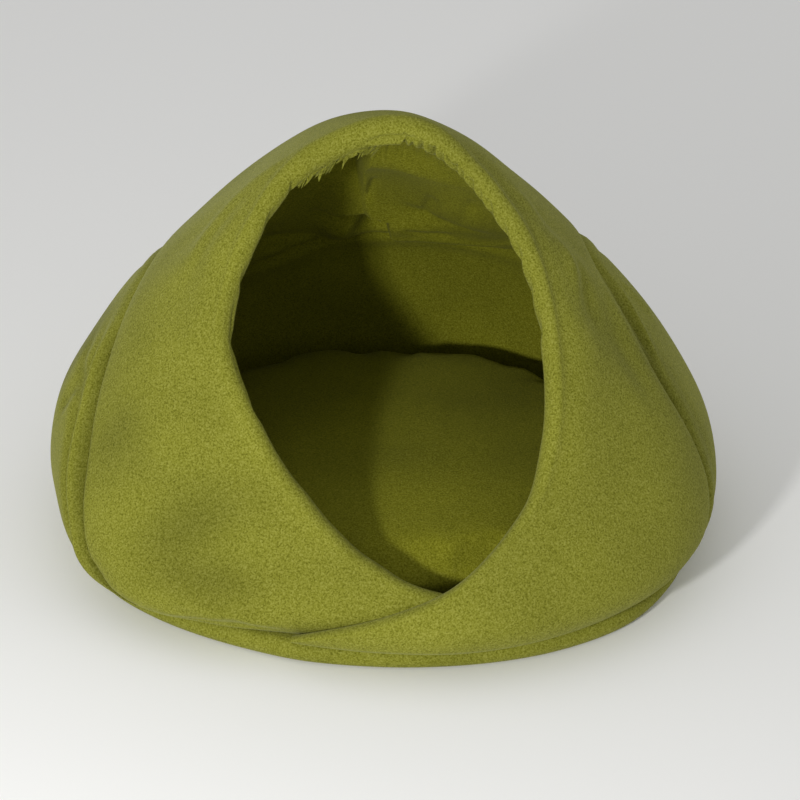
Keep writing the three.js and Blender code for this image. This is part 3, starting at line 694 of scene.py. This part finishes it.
def wall_panel(name, turn, outer, inner, material, round_over=None):
    """A closed piece on the walls' form, and its rings. outer, inner: the rows' lengths and mm out or in."""
    rings = ring_points(turn, *outer, *inner, round_over)
    faces = panel_faces(len(turn), rings.shape[1], outer[0].shape[1])
    return closed_mesh(name, rings, faces, material), rings


def lay_nap_and_shade(piece, rings, pressed):
    """Keeps how dark a panel's outer face is made, for flattened nap and for painted shade: (turns, rows),
    from 0 to 1.
    """
    everywhere = np.zeros(rings.shape[:2])
    everywhere[:, :pressed.shape[1]] = pressed
    piece.data.attributes.new("pressed", "FLOAT", "POINT").data.foreach_set("value", everywhere.ravel())


outer_length = hood_from[:, None] + np.array(
    [edge_rows(span, HOOD_OUTER_ROWS) for span in hood_to - hood_from])
column = hood_turns[:, None]
outer_face = wall_places(hood_turns, outer_length)[0]
to_seam, along_seam = near_line(outer_face, seam_line)
past_seam = np.abs(column - (seam_start + seam_end) / 2) - (seam_end - seam_start) / 2
beside_seam = rise_between(SEAM_END_FADE - past_seam, 0, SEAM_END_FADE)
hood_height = hood_swell(column, outer_length, outer_face) - hood_tuck[:, None]
hood_height += folded(outer_face, HOOD_FOLDS)
hood_height -= STITCH_DEPTH * np.exp(-to_seam / STITCH_REACH) * beside_seam
hood_height += HOOD_GATHER * puckered(along_seam, to_seam, GATHER_REACH, 3) * beside_seam
hood_height -= FOOT_DEPTH * np.exp(-(outer_length / FOOT_REACH) ** 2) * ~over_seam[:, None]
above_edge = rise_between(outer_length - hood_from[:, None], 0, HOOD_SWELL_FADE)
hood_height += FILLING_SWELL * soft_lumps(outer_face, HOOD_SWELL_WIDTH, 4) * above_edge
at_side = rise_between(np.abs(column - ARCH_MIDDLE), *ARCH_SIDES)
at_side *= rise_between(hood_to, *RIM_DRAWN_LENGTHS)[:, None]
hood_height -= RIM_DRAWN * hump(hood_to[:, None] - outer_length, RIM_DRAWN_WIDTH) * at_side

facing_from = hood_to - facing_width
facing_rows = np.array([0, 0.12, 0.26, 0.42, 0.58, 0.74, 0.88, 0.97, 1])
facing_length = hood_to[:, None] - facing_rows * facing_width[:, None]
body_length = np.linspace(facing_from - FACING_STEP, hood_from, HOOD_INNER_ROWS, axis=1)
inner_length = np.concatenate([facing_length, body_length], axis=1)
inner_face = wall_places(hood_turns, inner_length)[0]
inner_depth = hood_tuck[:, None] + hood_thickness[:, None] - hood_swell(column, inner_length, inner_face)
inner_depth += np.where(inner_length >= facing_from[:, None] - 0.01, FACING_THICKNESS, 0)
inner_depth += hem_relief(hood_turns, np.array([180])) * hump(hood_to[:, None] - inner_length, FACE_EDGE)

hood, hood_rings = wall_panel("padded_hood", hood_turns, (outer_length, hood_height),
                              (inner_length, inner_depth), outer_fleece,
                              round_over=RIM_ROUND * hood_thickness / WALL_THICKNESS)
lay_nap_and_shade(hood, hood_rings, dented(column, outer_length, HOOD_FLAT_NAP_AND_SHADE))
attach(hood, "root")
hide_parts("hood_shell")

# The frayed hem: at the upper left of the mouth the raw cut of the hood's fleece isn't turned under, and its
# fibres hang out of the facing in small pointed locks.
FRAY_FROM, FRAY_TO = 198, 253               # degrees
FRAY_PLACES = 70
FRAY_ROLL_STEP = 20                         # of the steps round the rim's roll, from outside
FRAY_LENGTH = 0.0075                        # metres
FRAY_HANGS = (-0.62, -0.30, -0.66)
FRAY_SPREAD = 0.25


def tapered_lock(name):
    """A flat pointed lock, one unit long along +Z, with a bend in it."""
    rings = [(0, 0.20, 0.10, 0), (0.35, 0.19, 0.09, 0.02), (0.7, 0.12, 0.06, 0.07), (1, 0.02, 0.015, 0.15)]
    points = [(x * wide + bend, y * thick, z) for z, wide, thick, bend in rings
              for x, y in ((-1, 0), (0, -1), (1, 0), (0, 1))]
    faces = [[4 * k + i, 4 * k + (i + 1) % 4, 4 * k + 4 + (i + 1) % 4, 4 * k + 4 + i]
             for k in range(len(rings) - 1) for i in range(4)]
    mesh = bpy.data.meshes.new(name)
    mesh.from_pydata(points, [], faces + [[3, 2, 1, 0], [12, 13, 14, 15]])
    return bpy.data.objects.new(name, mesh)


def scatter_tree(name):
    """Geometry nodes that stand a copy of a lock on every point, turned along its attribute "way"."""
    tree = bpy.data.node_groups.new(name, "GeometryNodeTree")
    tree.interface.new_socket("Points", in_out="INPUT", socket_type="NodeSocketGeometry")
    for label, kind in (("Lock", "Object"), ("Length", "Float"), ("Seed", "Int"), ("Cloth", "Material")):
        tree.interface.new_socket(label, in_out="INPUT", socket_type="NodeSocket" + kind)
    tree.interface.new_socket("Locks", in_out="OUTPUT", socket_type="NodeSocketGeometry")
    given = add_node(tree, "NodeGroupInput").outputs
    lock = add_node(tree, "GeometryNodeObjectInfo", None, {"Object": given["Lock"]})
    way = add_node(tree, "GeometryNodeInputNamedAttribute", {"data_type": "FLOAT_VECTOR", "Name": "way"})
    along = add_node(tree, "FunctionNodeAlignRotationToVector", {"axis": "Z"},
                     {"Vector": way.outputs["Attribute"]})
    size = add_node(tree, "FunctionNodeRandomValue", {"data_type": "FLOAT", 2: 0.55, 3: 1.45},
                    {"Seed": given["Seed"]})
    scale = add_node(tree, "ShaderNodeMath", {"operation": "MULTIPLY"},
                     {0: size.outputs[1], 1: given["Length"]})
    twist = add_node(tree, "FunctionNodeRandomValue",
                     {"data_type": "FLOAT_VECTOR", 0: (-0.35, -0.35, -0.9), 1: (0.35, 0.35, 0.9)},
                     {"Seed": given["Seed"]})
    turned = add_node(tree, "FunctionNodeRotateRotation", {"rotation_space": "LOCAL"},
                      {0: along.outputs["Rotation"], 1: twist.outputs[0]})
    stood = add_node(tree, "GeometryNodeInstanceOnPoints", None,
                     {"Points": given["Points"], "Instance": lock.outputs["Geometry"],
                      "Rotation": turned.outputs[0], "Scale": scale.outputs[0]})
    real = add_node(tree, "GeometryNodeRealizeInstances", None, {"Geometry": stood.outputs[0]})
    clothed = add_node(tree, "GeometryNodeSetMaterial", None,
                       {"Geometry": real.outputs[0], "Material": given["Cloth"]})
    add_node(tree, "NodeGroupOutput", None, {"Locks": clothed.outputs[0]})
    return tree


def applied(piece):
    """The piece's mesh as its modifiers leave it, with the modifiers gone."""
    shaped = bpy.data.meshes.new_from_object(piece.evaluated_get(bpy.context.evaluated_depsgraph_get()))
    shaped.name = piece.name
    piece.modifiers.clear()
    piece.data = shaped


def stood_on(name, places, ways, lock, length, seed, cloth):
    """A piece made of copies of the lock, on these places (in metres) and along these ways."""
    mesh = bpy.data.meshes.new(name)
    mesh.from_pydata(places.tolist(), [], [])
    mesh.attributes.new("way", "FLOAT_VECTOR", "POINT").data.foreach_set("vector", ways.ravel())
    piece = bpy.data.objects.new(name, mesh)
    scene.collection.objects.link(piece)
    modifier = piece.modifiers.new("locks", "NODES")
    modifier.node_group = scatter_tree(name + "_nodes")
    values = {"Lock": lock, "Length": length, "Seed": seed, "Cloth": cloth}
    for item in modifier.node_group.interface.items_tree:
        if item.in_out == "INPUT" and item.name in values:
            modifier[item.identifier] = values[item.name]
    applied(piece)
    return piece


fray_random = np.random.default_rng(21)
fray_turns = np.sort(fray_random.uniform(FRAY_FROM, FRAY_TO, FRAY_PLACES))
fray_line = (hood_rings[:, HOOD_OUTER_ROWS + FRAY_ROLL_STEP] + bed_middle) * MM
fray_places = np.stack([np.interp(fray_turns, hood_turns, fray_line[:, k]) for k in range(3)], axis=-1)
fray_ways = FRAY_HANGS + fray_random.uniform(-FRAY_SPREAD, FRAY_SPREAD, (FRAY_PLACES, 3))
frayed_hem = stood_on("frayed_hem", fray_places, fray_ways, tapered_lock("fleece_lock"), FRAY_LENGTH, 5,
                      outer_fleece)
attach(frayed_hem, "root")

# The back: a low panel of the same foam and fleece, cut wide and sewn to the hood right side to right side.
# Beside the seam its cover puffs up in a roll, and behind the roll it folds in.
BACK_STATIONS = 330
BACK_ROWS = 74
BACK_INNER_ROWS = 18
BACK_END = 0.8                              # degrees left free between each end and the hood
SHORTEST_BACK = 0.6                         # how high the panel is at its two ends
# How far the roll stands out, in mm, by degrees: most of all in front on the left.
SEAM_ROLL = [(56, 0), (62, 0.6), (75, 0.6), (97, 0.2), (130, 1.5), (180, 2), (230, 1.5), (255, 0.6),
             (264, 0.3), (271, 1.2), (279, 5), (300, 5.5), (306, 4), (318, 0)]
# How far from the seam the roll and the groove behind it lie, and their half width.
ROLL_AT, BEHIND_ROLL_AT, ROLL_WIDTH = 8, 20, 5.5
# On the right the panel lies lower than the hood's edge: round this turn, by this much, fading over this.
DROP_AT, DROP_HALF_TURN, DROP_DEPTH, DROP_REACH = 82, 12, 2.6, 7
BACK_GATHER, BACK_GATHERS_ABOVE = 0.2, 20
BACK_SWELL_WIDTH = 46
# Where the panel is short, near its two ends, its relief fades: from what length to what.
RELIEF_FADE, STITCH_FADE = (0, 14), (12, 60)
# The same columns as the hood's folds.
BACK_FOLDS = [
    (-3.5, 5, [(262, 154), (269, 146), (272, 135), (276, 130), (279, 118), (283, 105), (287, 91), (291, 79),
               (295, 66), (300, 52), (304, 36)]),
    (-3.5, 6, [(276, 132), (276, 118), (276, 104), (275, 88)]),
    (-3.6, 3.2, [(106, 236), (103, 228), (92, 199), (84, 166), (80, 145)]),
    (2.2, 4, [(104, 222), (96, 202), (88, 176), (84, 156)]),
    (-3.0, 3.2, [(103, 218), (98, 208), (92, 193), (86, 172)]),
    (1.8, 6, [(99, 205), (101, 190), (100, 172), (98, 150)]),
]
# Painted shade on the back, where its folds lie in shadow on the left: the columns of the hood's table.
BACK_PAINTED_SHADE = [
    (261, 146, 1.0, 16, 24),
    (266, 128, 1.0, 12, 24),
    (269, 104, 0.6, 8, 16),
]
# Painted shade also lies beside the seam, behind the roll and under the hood's edge: mm from it, half width,
# and how much, for each mm of the roll and on the right. In the creases it is how much for each mm of them.
SHADE_BEHIND_ROLL = [(BEHIND_ROLL_AT, 5, 0.16), (1, 3, 0.12)]
SHADE_ON_RIGHT = [(6, 12, 0.45), (1, 3, 0.5)]
SHADE_IN_CREASES = 0.12
DARKEST_BACK_SHADE = 0.9

back_turns = np.linspace(seam_start + BACK_END, seam_end - BACK_END, BACK_STATIONS)
back_to = np.maximum(seam_length(back_turns) - seam_margin(back_turns), SHORTEST_BACK)


def back_rows(span, count):
    """Rows that lie close together at the foot and at the seam."""
    low_half = edge_rows(span / 2, count // 2)
    return np.concatenate([low_half, span - low_half[::-1][1:]])


back_length = np.array([back_rows(span, BACK_ROWS) for span in back_to])
back_face = wall_places(back_turns, back_length)[0]
to_seam, along_seam = near_line(back_face, seam_line)
foot_fade = rise_between(back_to, *STITCH_FADE)[:, None]
roll = read_rows(SEAM_ROLL, back_turns)
on_right = hump(back_turns[:, None] - DROP_AT, DROP_HALF_TURN)
creases = folded(back_face, BACK_FOLDS)
back_height = roll * (hump(to_seam - ROLL_AT, ROLL_WIDTH) - hump(to_seam - BEHIND_ROLL_AT, ROLL_WIDTH))
back_height -= DROP_DEPTH * on_right * np.exp(-to_seam / DROP_REACH)
back_height -= SEAM_DIP * hump(to_seam, SEAM_DIP_WIDTH) * rise_between(back_to, *SEAM_FADE)[:, None]
back_height += creases
back_height += FILLING_SWELL * soft_lumps(back_face, BACK_SWELL_WIDTH, 5)
back_height *= rise_between(back_length, 0, FLAT_BELOW) * rise_between(back_to, *RELIEF_FADE)[:, None]
back_height -= STITCH_DEPTH * np.exp(-to_seam / STITCH_REACH) * foot_fade
gathered = puckered(along_seam, to_seam, GATHER_REACH, 6) * rise_between(back_length, 0, BACK_GATHERS_ABOVE)
back_height += BACK_GATHER * gathered * foot_fade
back_height -= FOOT_DEPTH * np.exp(-(back_length / FOOT_REACH) ** 2)

back_inner_length = np.linspace(back_to, 0, BACK_INNER_ROWS, axis=1)
back_inner_depth = np.full(back_inner_length.shape, float(WALL_THICKNESS))
back, back_rings = wall_panel("padded_back", back_turns, (back_length, back_height),
                              (back_inner_length, back_inner_depth), outer_fleece)
# Painted shade on the back: in its folds, behind the roll, below the hood's edge on the right and in its
# creases.
back_shade = dented(back_turns[:, None], back_length, BACK_PAINTED_SHADE)
for place, table in ((roll, SHADE_BEHIND_ROLL), (on_right, SHADE_ON_RIGHT)):
    back_shade += place * sum(much * hump(to_seam - at, half_width) for at, half_width, much in table)
back_shade += SHADE_IN_CREASES * np.maximum(-creases, 0)
lay_nap_and_shade(back, back_rings, np.clip(back_shade, 0, DARKEST_BACK_SHADE))
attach(back, "root")
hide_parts("back_shell")

# The hood's lining: one layer of the same fleece, sewn in at the rim's facing and at the seam. Between them
# it is loose and cut too wide, so that it hangs from the ceiling of the cave in soft folds.
LINING_STATIONS = 400
LINING_ROWS = 100
# The same fleece's colours, painted a little darker and with less blue, as the cloth looks in the cave's
# shade.
LINING_TIP_IN_SHADE = "#8b8a2c"
LINING_GREEN_IN_SHADE = "#777719"
LINING_ROOT_IN_SHADE = "#5d5d0c"
# Broad folds of the loose cloth: the columns of the hood's dents, with mm into the cave.
LINING_FOLDS = [
    (150, 262, 5, 44, 44),
    (122, 288, 6, 40, 40),
    (236, 300, 9, 40, 46),
]
# The crevice where the ceiling's cloth meets the back's, a ridge on either side of it, and other creases:
# the columns of the hood's folds, with mm into the cave.
CREVICE = [
    (-4, 3, [(222, 116), (208, 128), (203, 135), (198, 143), (191, 152), (181, 157), (172, 160), (161, 160),
             (150, 158), (138, 160)]),
    (5, 8, [(222, 128), (208, 141), (203, 148), (198, 156), (191, 165), (181, 170), (172, 173), (161, 173),
            (150, 171), (138, 172)]),
    (3, 8, [(222, 104), (208, 116), (203, 123), (198, 131), (191, 140), (181, 145), (172, 148), (161, 148),
            (150, 146), (138, 148)]),
]
CEILING_CREASES = [
    (-2.6, 3.5, [(184.5, 306), (185.5, 270), (186.3, 238)]),
    (-2.5, 5, [(160, 285), (165, 250), (168, 222)]),
    (-2.0, 5, [(142, 300), (150, 262), (155, 225)]),
    (-2.2, 6, [(178, 250), (168, 232), (156, 222), (144, 220)]),
    (-2.0, 4, [(176, 205), (168, 198), (158, 196)]),
]
# Bulges of the ceiling's cloth: degrees, mm up from the foot, mm into the cave, and half widths in degrees
# and in mm.
CEILING_BULGES = [
    (185, 192, 9, 13, 38),
    (192.0, 184, 14, 4.2, 14),
    (183.6, 186, -9, 3.0, 17),
    (171, 206, 4, 7, 12),
    (200, 240, 5, 6, 30),
    (212, 200, 5, 9, 26),
    (150, 240, 5, 9, 26),
]
# Two lobes of it hang one below the other: how deep, and their left edges, as mm up from the foot and
# degrees. They swell between two lengths, and fade below the hem, past their left edge and on the right.
LOBE_DEPTH = 19
LOBE_EDGE = [(160, 165), (174, 171), (178, 178), (186, 180), (213, 180.5), (217, 186), (228, 187.3),
             (276, 190), (330, 193)]
LOBE_SWELLS, LOBE_BELOW_HEM, LOBE_PAST_EDGE, LOBE_ON_RIGHT = (160, 186), (4, 60), (-0.8, 2.2), (118, 168)
# Left of the upper lobe the cloth makes a shelf: how deep; from which length to which, and over what it
# fades there; and the degrees at which it ends on the left, and over how many it fades.
SHELF_DEPTH = 13
SHELF_FROM, SHELF_TO, SHELF_FADES = 208, 300, (9, 60)
SHELF_LEFT, SHELF_LEFT_FADE = 202, 9
# Gathers below the hem of the facing: their depth, how far down they reach, where they are full, and mm for
# each degree.
LINING_GATHER, LINING_GATHER_REACH, LINING_GATHER_FULL = 1.6, 16, 6
GATHER_RUN = 2.16
HELD_DEPTH, HELD_WIDTH = 2.5, 12            # how far the cloth stands off its wall just beside its edges
BROAD_FOLD_FADE = 40
BELOW_FACING = 2                            # between the facing's step and the cloth

lining_fleece = brushed_fleece("polyester_fleece_brushed_lining", LINING_TIP_IN_SHADE, LINING_GREEN_IN_SHADE, LINING_ROOT_IN_SHADE,
                               sheen=0.05)
# Two fifths of the stations lie behind the top of the mouth, where the lobes hang.
lining_turns = np.interp(np.linspace(0, 1, LINING_STATIONS), [0, 0.3, 0.7, 1],
                         [HOOD_RUN[0][0], 140, 212, HOOD_RUN[-1][0]])


def at_lining(values):
    return np.interp(lining_turns, hood_turns, values)


lining_from, lining_to = at_lining(hood_from), at_lining(hood_to - facing_width) - BELOW_FACING
lining_length = lining_from[:, None] + np.array(
    [edge_rows(span, LINING_ROWS) for span in lining_to - lining_from])
column = lining_turns[:, None]
lining_face = wall_places(lining_turns, lining_length)[0]
to_edge = np.minimum(lining_length - lining_from[:, None], lining_to[:, None] - lining_length)
lining_depth = (at_lining(hood_tuck) + at_lining(hood_thickness))[:, None] + LINING_GAP
lining_depth = lining_depth - hood_swell(column, lining_length, lining_face)
lining_depth += dented(column, lining_length, LINING_FOLDS) * rise_between(to_edge, 0, BROAD_FOLD_FADE)
lining_depth += HELD_DEPTH * rise_between(to_edge, 0, HELD_WIDTH)
lining_depth += folded(lining_face, CREVICE)
lobe_edge = np.interp(lining_length, *np.transpose(LOBE_EDGE))
below_hem = lining_to[:, None] - lining_length
hangs = rise_between(lining_length, *LOBE_SWELLS) * rise_between(below_hem, *LOBE_BELOW_HEM)
in_lobe = rise_between(lobe_edge - column, *LOBE_PAST_EDGE) * rise_between(column, *LOBE_ON_RIGHT)
lining_depth += LOBE_DEPTH * in_lobe * hangs
on_shelf = rise_between(column, lobe_edge - 2, lobe_edge + 1)
on_shelf *= rise_between(SHELF_LEFT - column, 0, SHELF_LEFT_FADE)
on_shelf *= rise_between(lining_length - SHELF_FROM, 0, SHELF_FADES[0])
lining_depth += SHELF_DEPTH * on_shelf * rise_between(SHELF_TO - lining_length, 0, SHELF_FADES[1])
for at, up, drop, half_turn, half_up in CEILING_BULGES:
    lining_depth += drop * hump(column - at, half_turn) * hump(lining_length - up, half_up)
lining_depth += folded(lining_face, CEILING_CREASES)
gathered = puckered(GATHER_RUN * column, below_hem, LINING_GATHER_REACH, 11)
lining_depth += LINING_GATHER * gathered * rise_between(below_hem, 0, LINING_GATHER_FULL)


def wall_sheet(name, turn, length, depth):
    """One layer of the lining's cloth, this deep inside the walls' form."""
    inner = (length[:, ::-1], depth[:, ::-1] + LINING_THICKNESS)
    return wall_panel(name, turn, (length, -depth), inner, lining_fleece)[0]


hood_lining = wall_sheet("loose_hood_lining", lining_turns, lining_length, lining_depth)
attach(hood_lining, "root")
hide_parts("hood_lining")

# The back's lining: the same single layer of fleece, sewn in with the back panel at the seam and the base.
# It lies smooth behind the cushion, but for the crevice that it shares with the ceiling's cloth.
BACK_LINING_STATIONS = 230
BACK_LINING_ROWS = 44
BACK_HELD_DEPTH = 2.0
LINING_SWELL, LINING_SWELL_WIDTH, LINING_SWELL_FADE = 1.6, 52, 30

back_lining_turns = np.linspace(back_turns[0], back_turns[-1], BACK_LINING_STATIONS)
back_lining_to = np.interp(back_lining_turns, back_turns, back_to)
back_lining_length = np.array([back_rows(span, BACK_LINING_ROWS) for span in back_lining_to])
to_edge = np.minimum(back_lining_length, back_lining_to[:, None] - back_lining_length)
back_lining_depth = WALL_THICKNESS + LINING_GAP + BACK_HELD_DEPTH * rise_between(to_edge, 0, HELD_WIDTH)
back_lining_face = wall_places(back_lining_turns, back_lining_length)[0]
back_lining_depth += folded(back_lining_face, CREVICE)
swell = soft_lumps(back_lining_face, LINING_SWELL_WIDTH, 8) * rise_between(to_edge, 0, LINING_SWELL_FADE)
back_lining_depth += LINING_SWELL * swell
back_lining = wall_sheet("back_lining_sheet", back_lining_turns, back_lining_length, back_lining_depth)
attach(back_lining, "root")
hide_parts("back_lining")

# The cushion: a round cover of the same fleece, sewn round its side, filled with loose fibre and laid on the
# base. The filling pushes the cover out evenly, as far as its cloth lets it.
CUSHION_HALF_WIDTH = 212
CUSHION_HALF_DEPTH = 194
CUSHION_SIDE = 26
CUSHION_CROWN = 8
CUSHION_SIDES = 180
CUSHION_SLACK = 7                           # how much smaller the cover is before it is filled
CUSHION_MOST = 12                           # how far the filling may push it
CUSHION_LUMPS, CUSHION_LUMP_WIDTH = 1.5, 60
CUSHION_CLEAR = 0.4                         # between its underside and the base
# The same fleece's colours, painted a little darker and with less blue, as the cloth looks in the cave's
# shade.
CUSHION_TIP_IN_SHADE = "#8e8d2e"
CUSHION_GREEN_IN_SHADE = "#7a7a1b"
CUSHION_ROOT_IN_SHADE = "#60600e"
# In metres: the width of the cover's faces while it is filled, and the height above which its lumps show.
COVER_FACE = 0.006
LUMPS_ABOVE = 0.04
FILLING_PRESSURE = 4
FILLING_FRAMES = 20
# Inset from the widest outline, share of the side's height, and share of the crown.
CUSHION_PROFILE = [(175, 0, 0), (120, 0, 0), (60, 0, 0), (26, 0, 0), (9, 0.10, 0), (1, 0.28, 0),
                   (3, 0.48, 0), (0, 0.66, 0), (8, 0.88, 0), (30, 1, 0), (60, 1, 0.4), (90, 1, 0.7),
                   (130, 1, 0.93), (175, 1, 1)]

cushion_fleece = brushed_fleece("polyester_fleece_brushed_cushion", CUSHION_TIP_IN_SHADE, CUSHION_GREEN_IN_SHADE, CUSHION_ROOT_IN_SHADE,
                                sheen=0.06)
cushion_start = [(inset + CUSHION_SLACK, FOOT_HEIGHT + side * CUSHION_SIDE + crown * CUSHION_CROWN)
                 for inset, side, crown in CUSHION_PROFILE]
cushion_points = oval_rings(CUSHION_HALF_WIDTH, CUSHION_HALF_DEPTH, CUSHION_TOWARDS_BACK, cushion_start,
                            CUSHION_SIDES)
cushion_ends = np.array([[0, CUSHION_TOWARDS_BACK, cushion_start[0][1]],
                         [0, CUSHION_TOWARDS_BACK, cushion_start[-1][1]]])
cushion = closed_mesh("filled_cushion", np.concatenate([cushion_points.reshape(-1, 3), cushion_ends]),
                      oval_faces(len(CUSHION_PROFILE), CUSHION_SIDES), cushion_fleece)


def vertex_array(mesh):
    places = np.empty(len(mesh.vertices) * 3)
    mesh.vertices.foreach_get("co", places)
    return places.reshape(-1, 3)


remesh = cushion.modifiers.new("remesh", "REMESH")
remesh.mode = "VOXEL"
remesh.voxel_size = COVER_FACE
applied(cushion)
slack_places = vertex_array(cushion.data)
filling = cushion.modifiers.new("filling", "CLOTH")
filling.settings.use_pressure = True
filling.settings.uniform_pressure_force = FILLING_PRESSURE
filling.settings.effector_weights.gravity = 0
filling.settings.quality = 5
filling.point_cache.frame_start, filling.point_cache.frame_end = 1, FILLING_FRAMES
for step in range(1, FILLING_FRAMES + 1):
    scene.frame_set(step)
applied(cushion)

# The cover keeps to its own size and above the base, and its top is a little lumpy.
moved = vertex_array(cushion.data) - slack_places
far = np.linalg.norm(moved, axis=-1, keepdims=True)
places = slack_places + moved * np.minimum(1, CUSHION_MOST * MM / np.maximum(far, 1e-9))
from_middle = places[:, :2] - slack_places.mean(0)[:2]
round_share = np.hypot(*(from_middle / MM / (CUSHION_HALF_WIDTH, CUSHION_HALF_DEPTH)).T)
lumps = soft_lumps(places / MM, CUSHION_LUMP_WIDTH, 9) * (slack_places[:, 2] > LUMPS_ABOVE)
places[:, 2] += CUSHION_LUMPS * MM * lumps
places[:, 2] = np.clip(places[:, 2], (FOOT_HEIGHT + CUSHION_CLEAR) * MM, None)
places[:, :2] -= from_middle * (1 - 1 / np.maximum(round_share, 1))[:, None]
cushion.data.vertices.foreach_set("co", places.ravel())
smoother = cushion.modifiers.new("smoother", "SUBSURF")
smoother.levels = smoother.render_levels = 1
applied(cushion)
cushion.data.polygons.foreach_set("use_smooth", [True] * len(cushion.data.polygons))
scene.frame_set(1)
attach(cushion, "root")
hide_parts("seat_cushion")
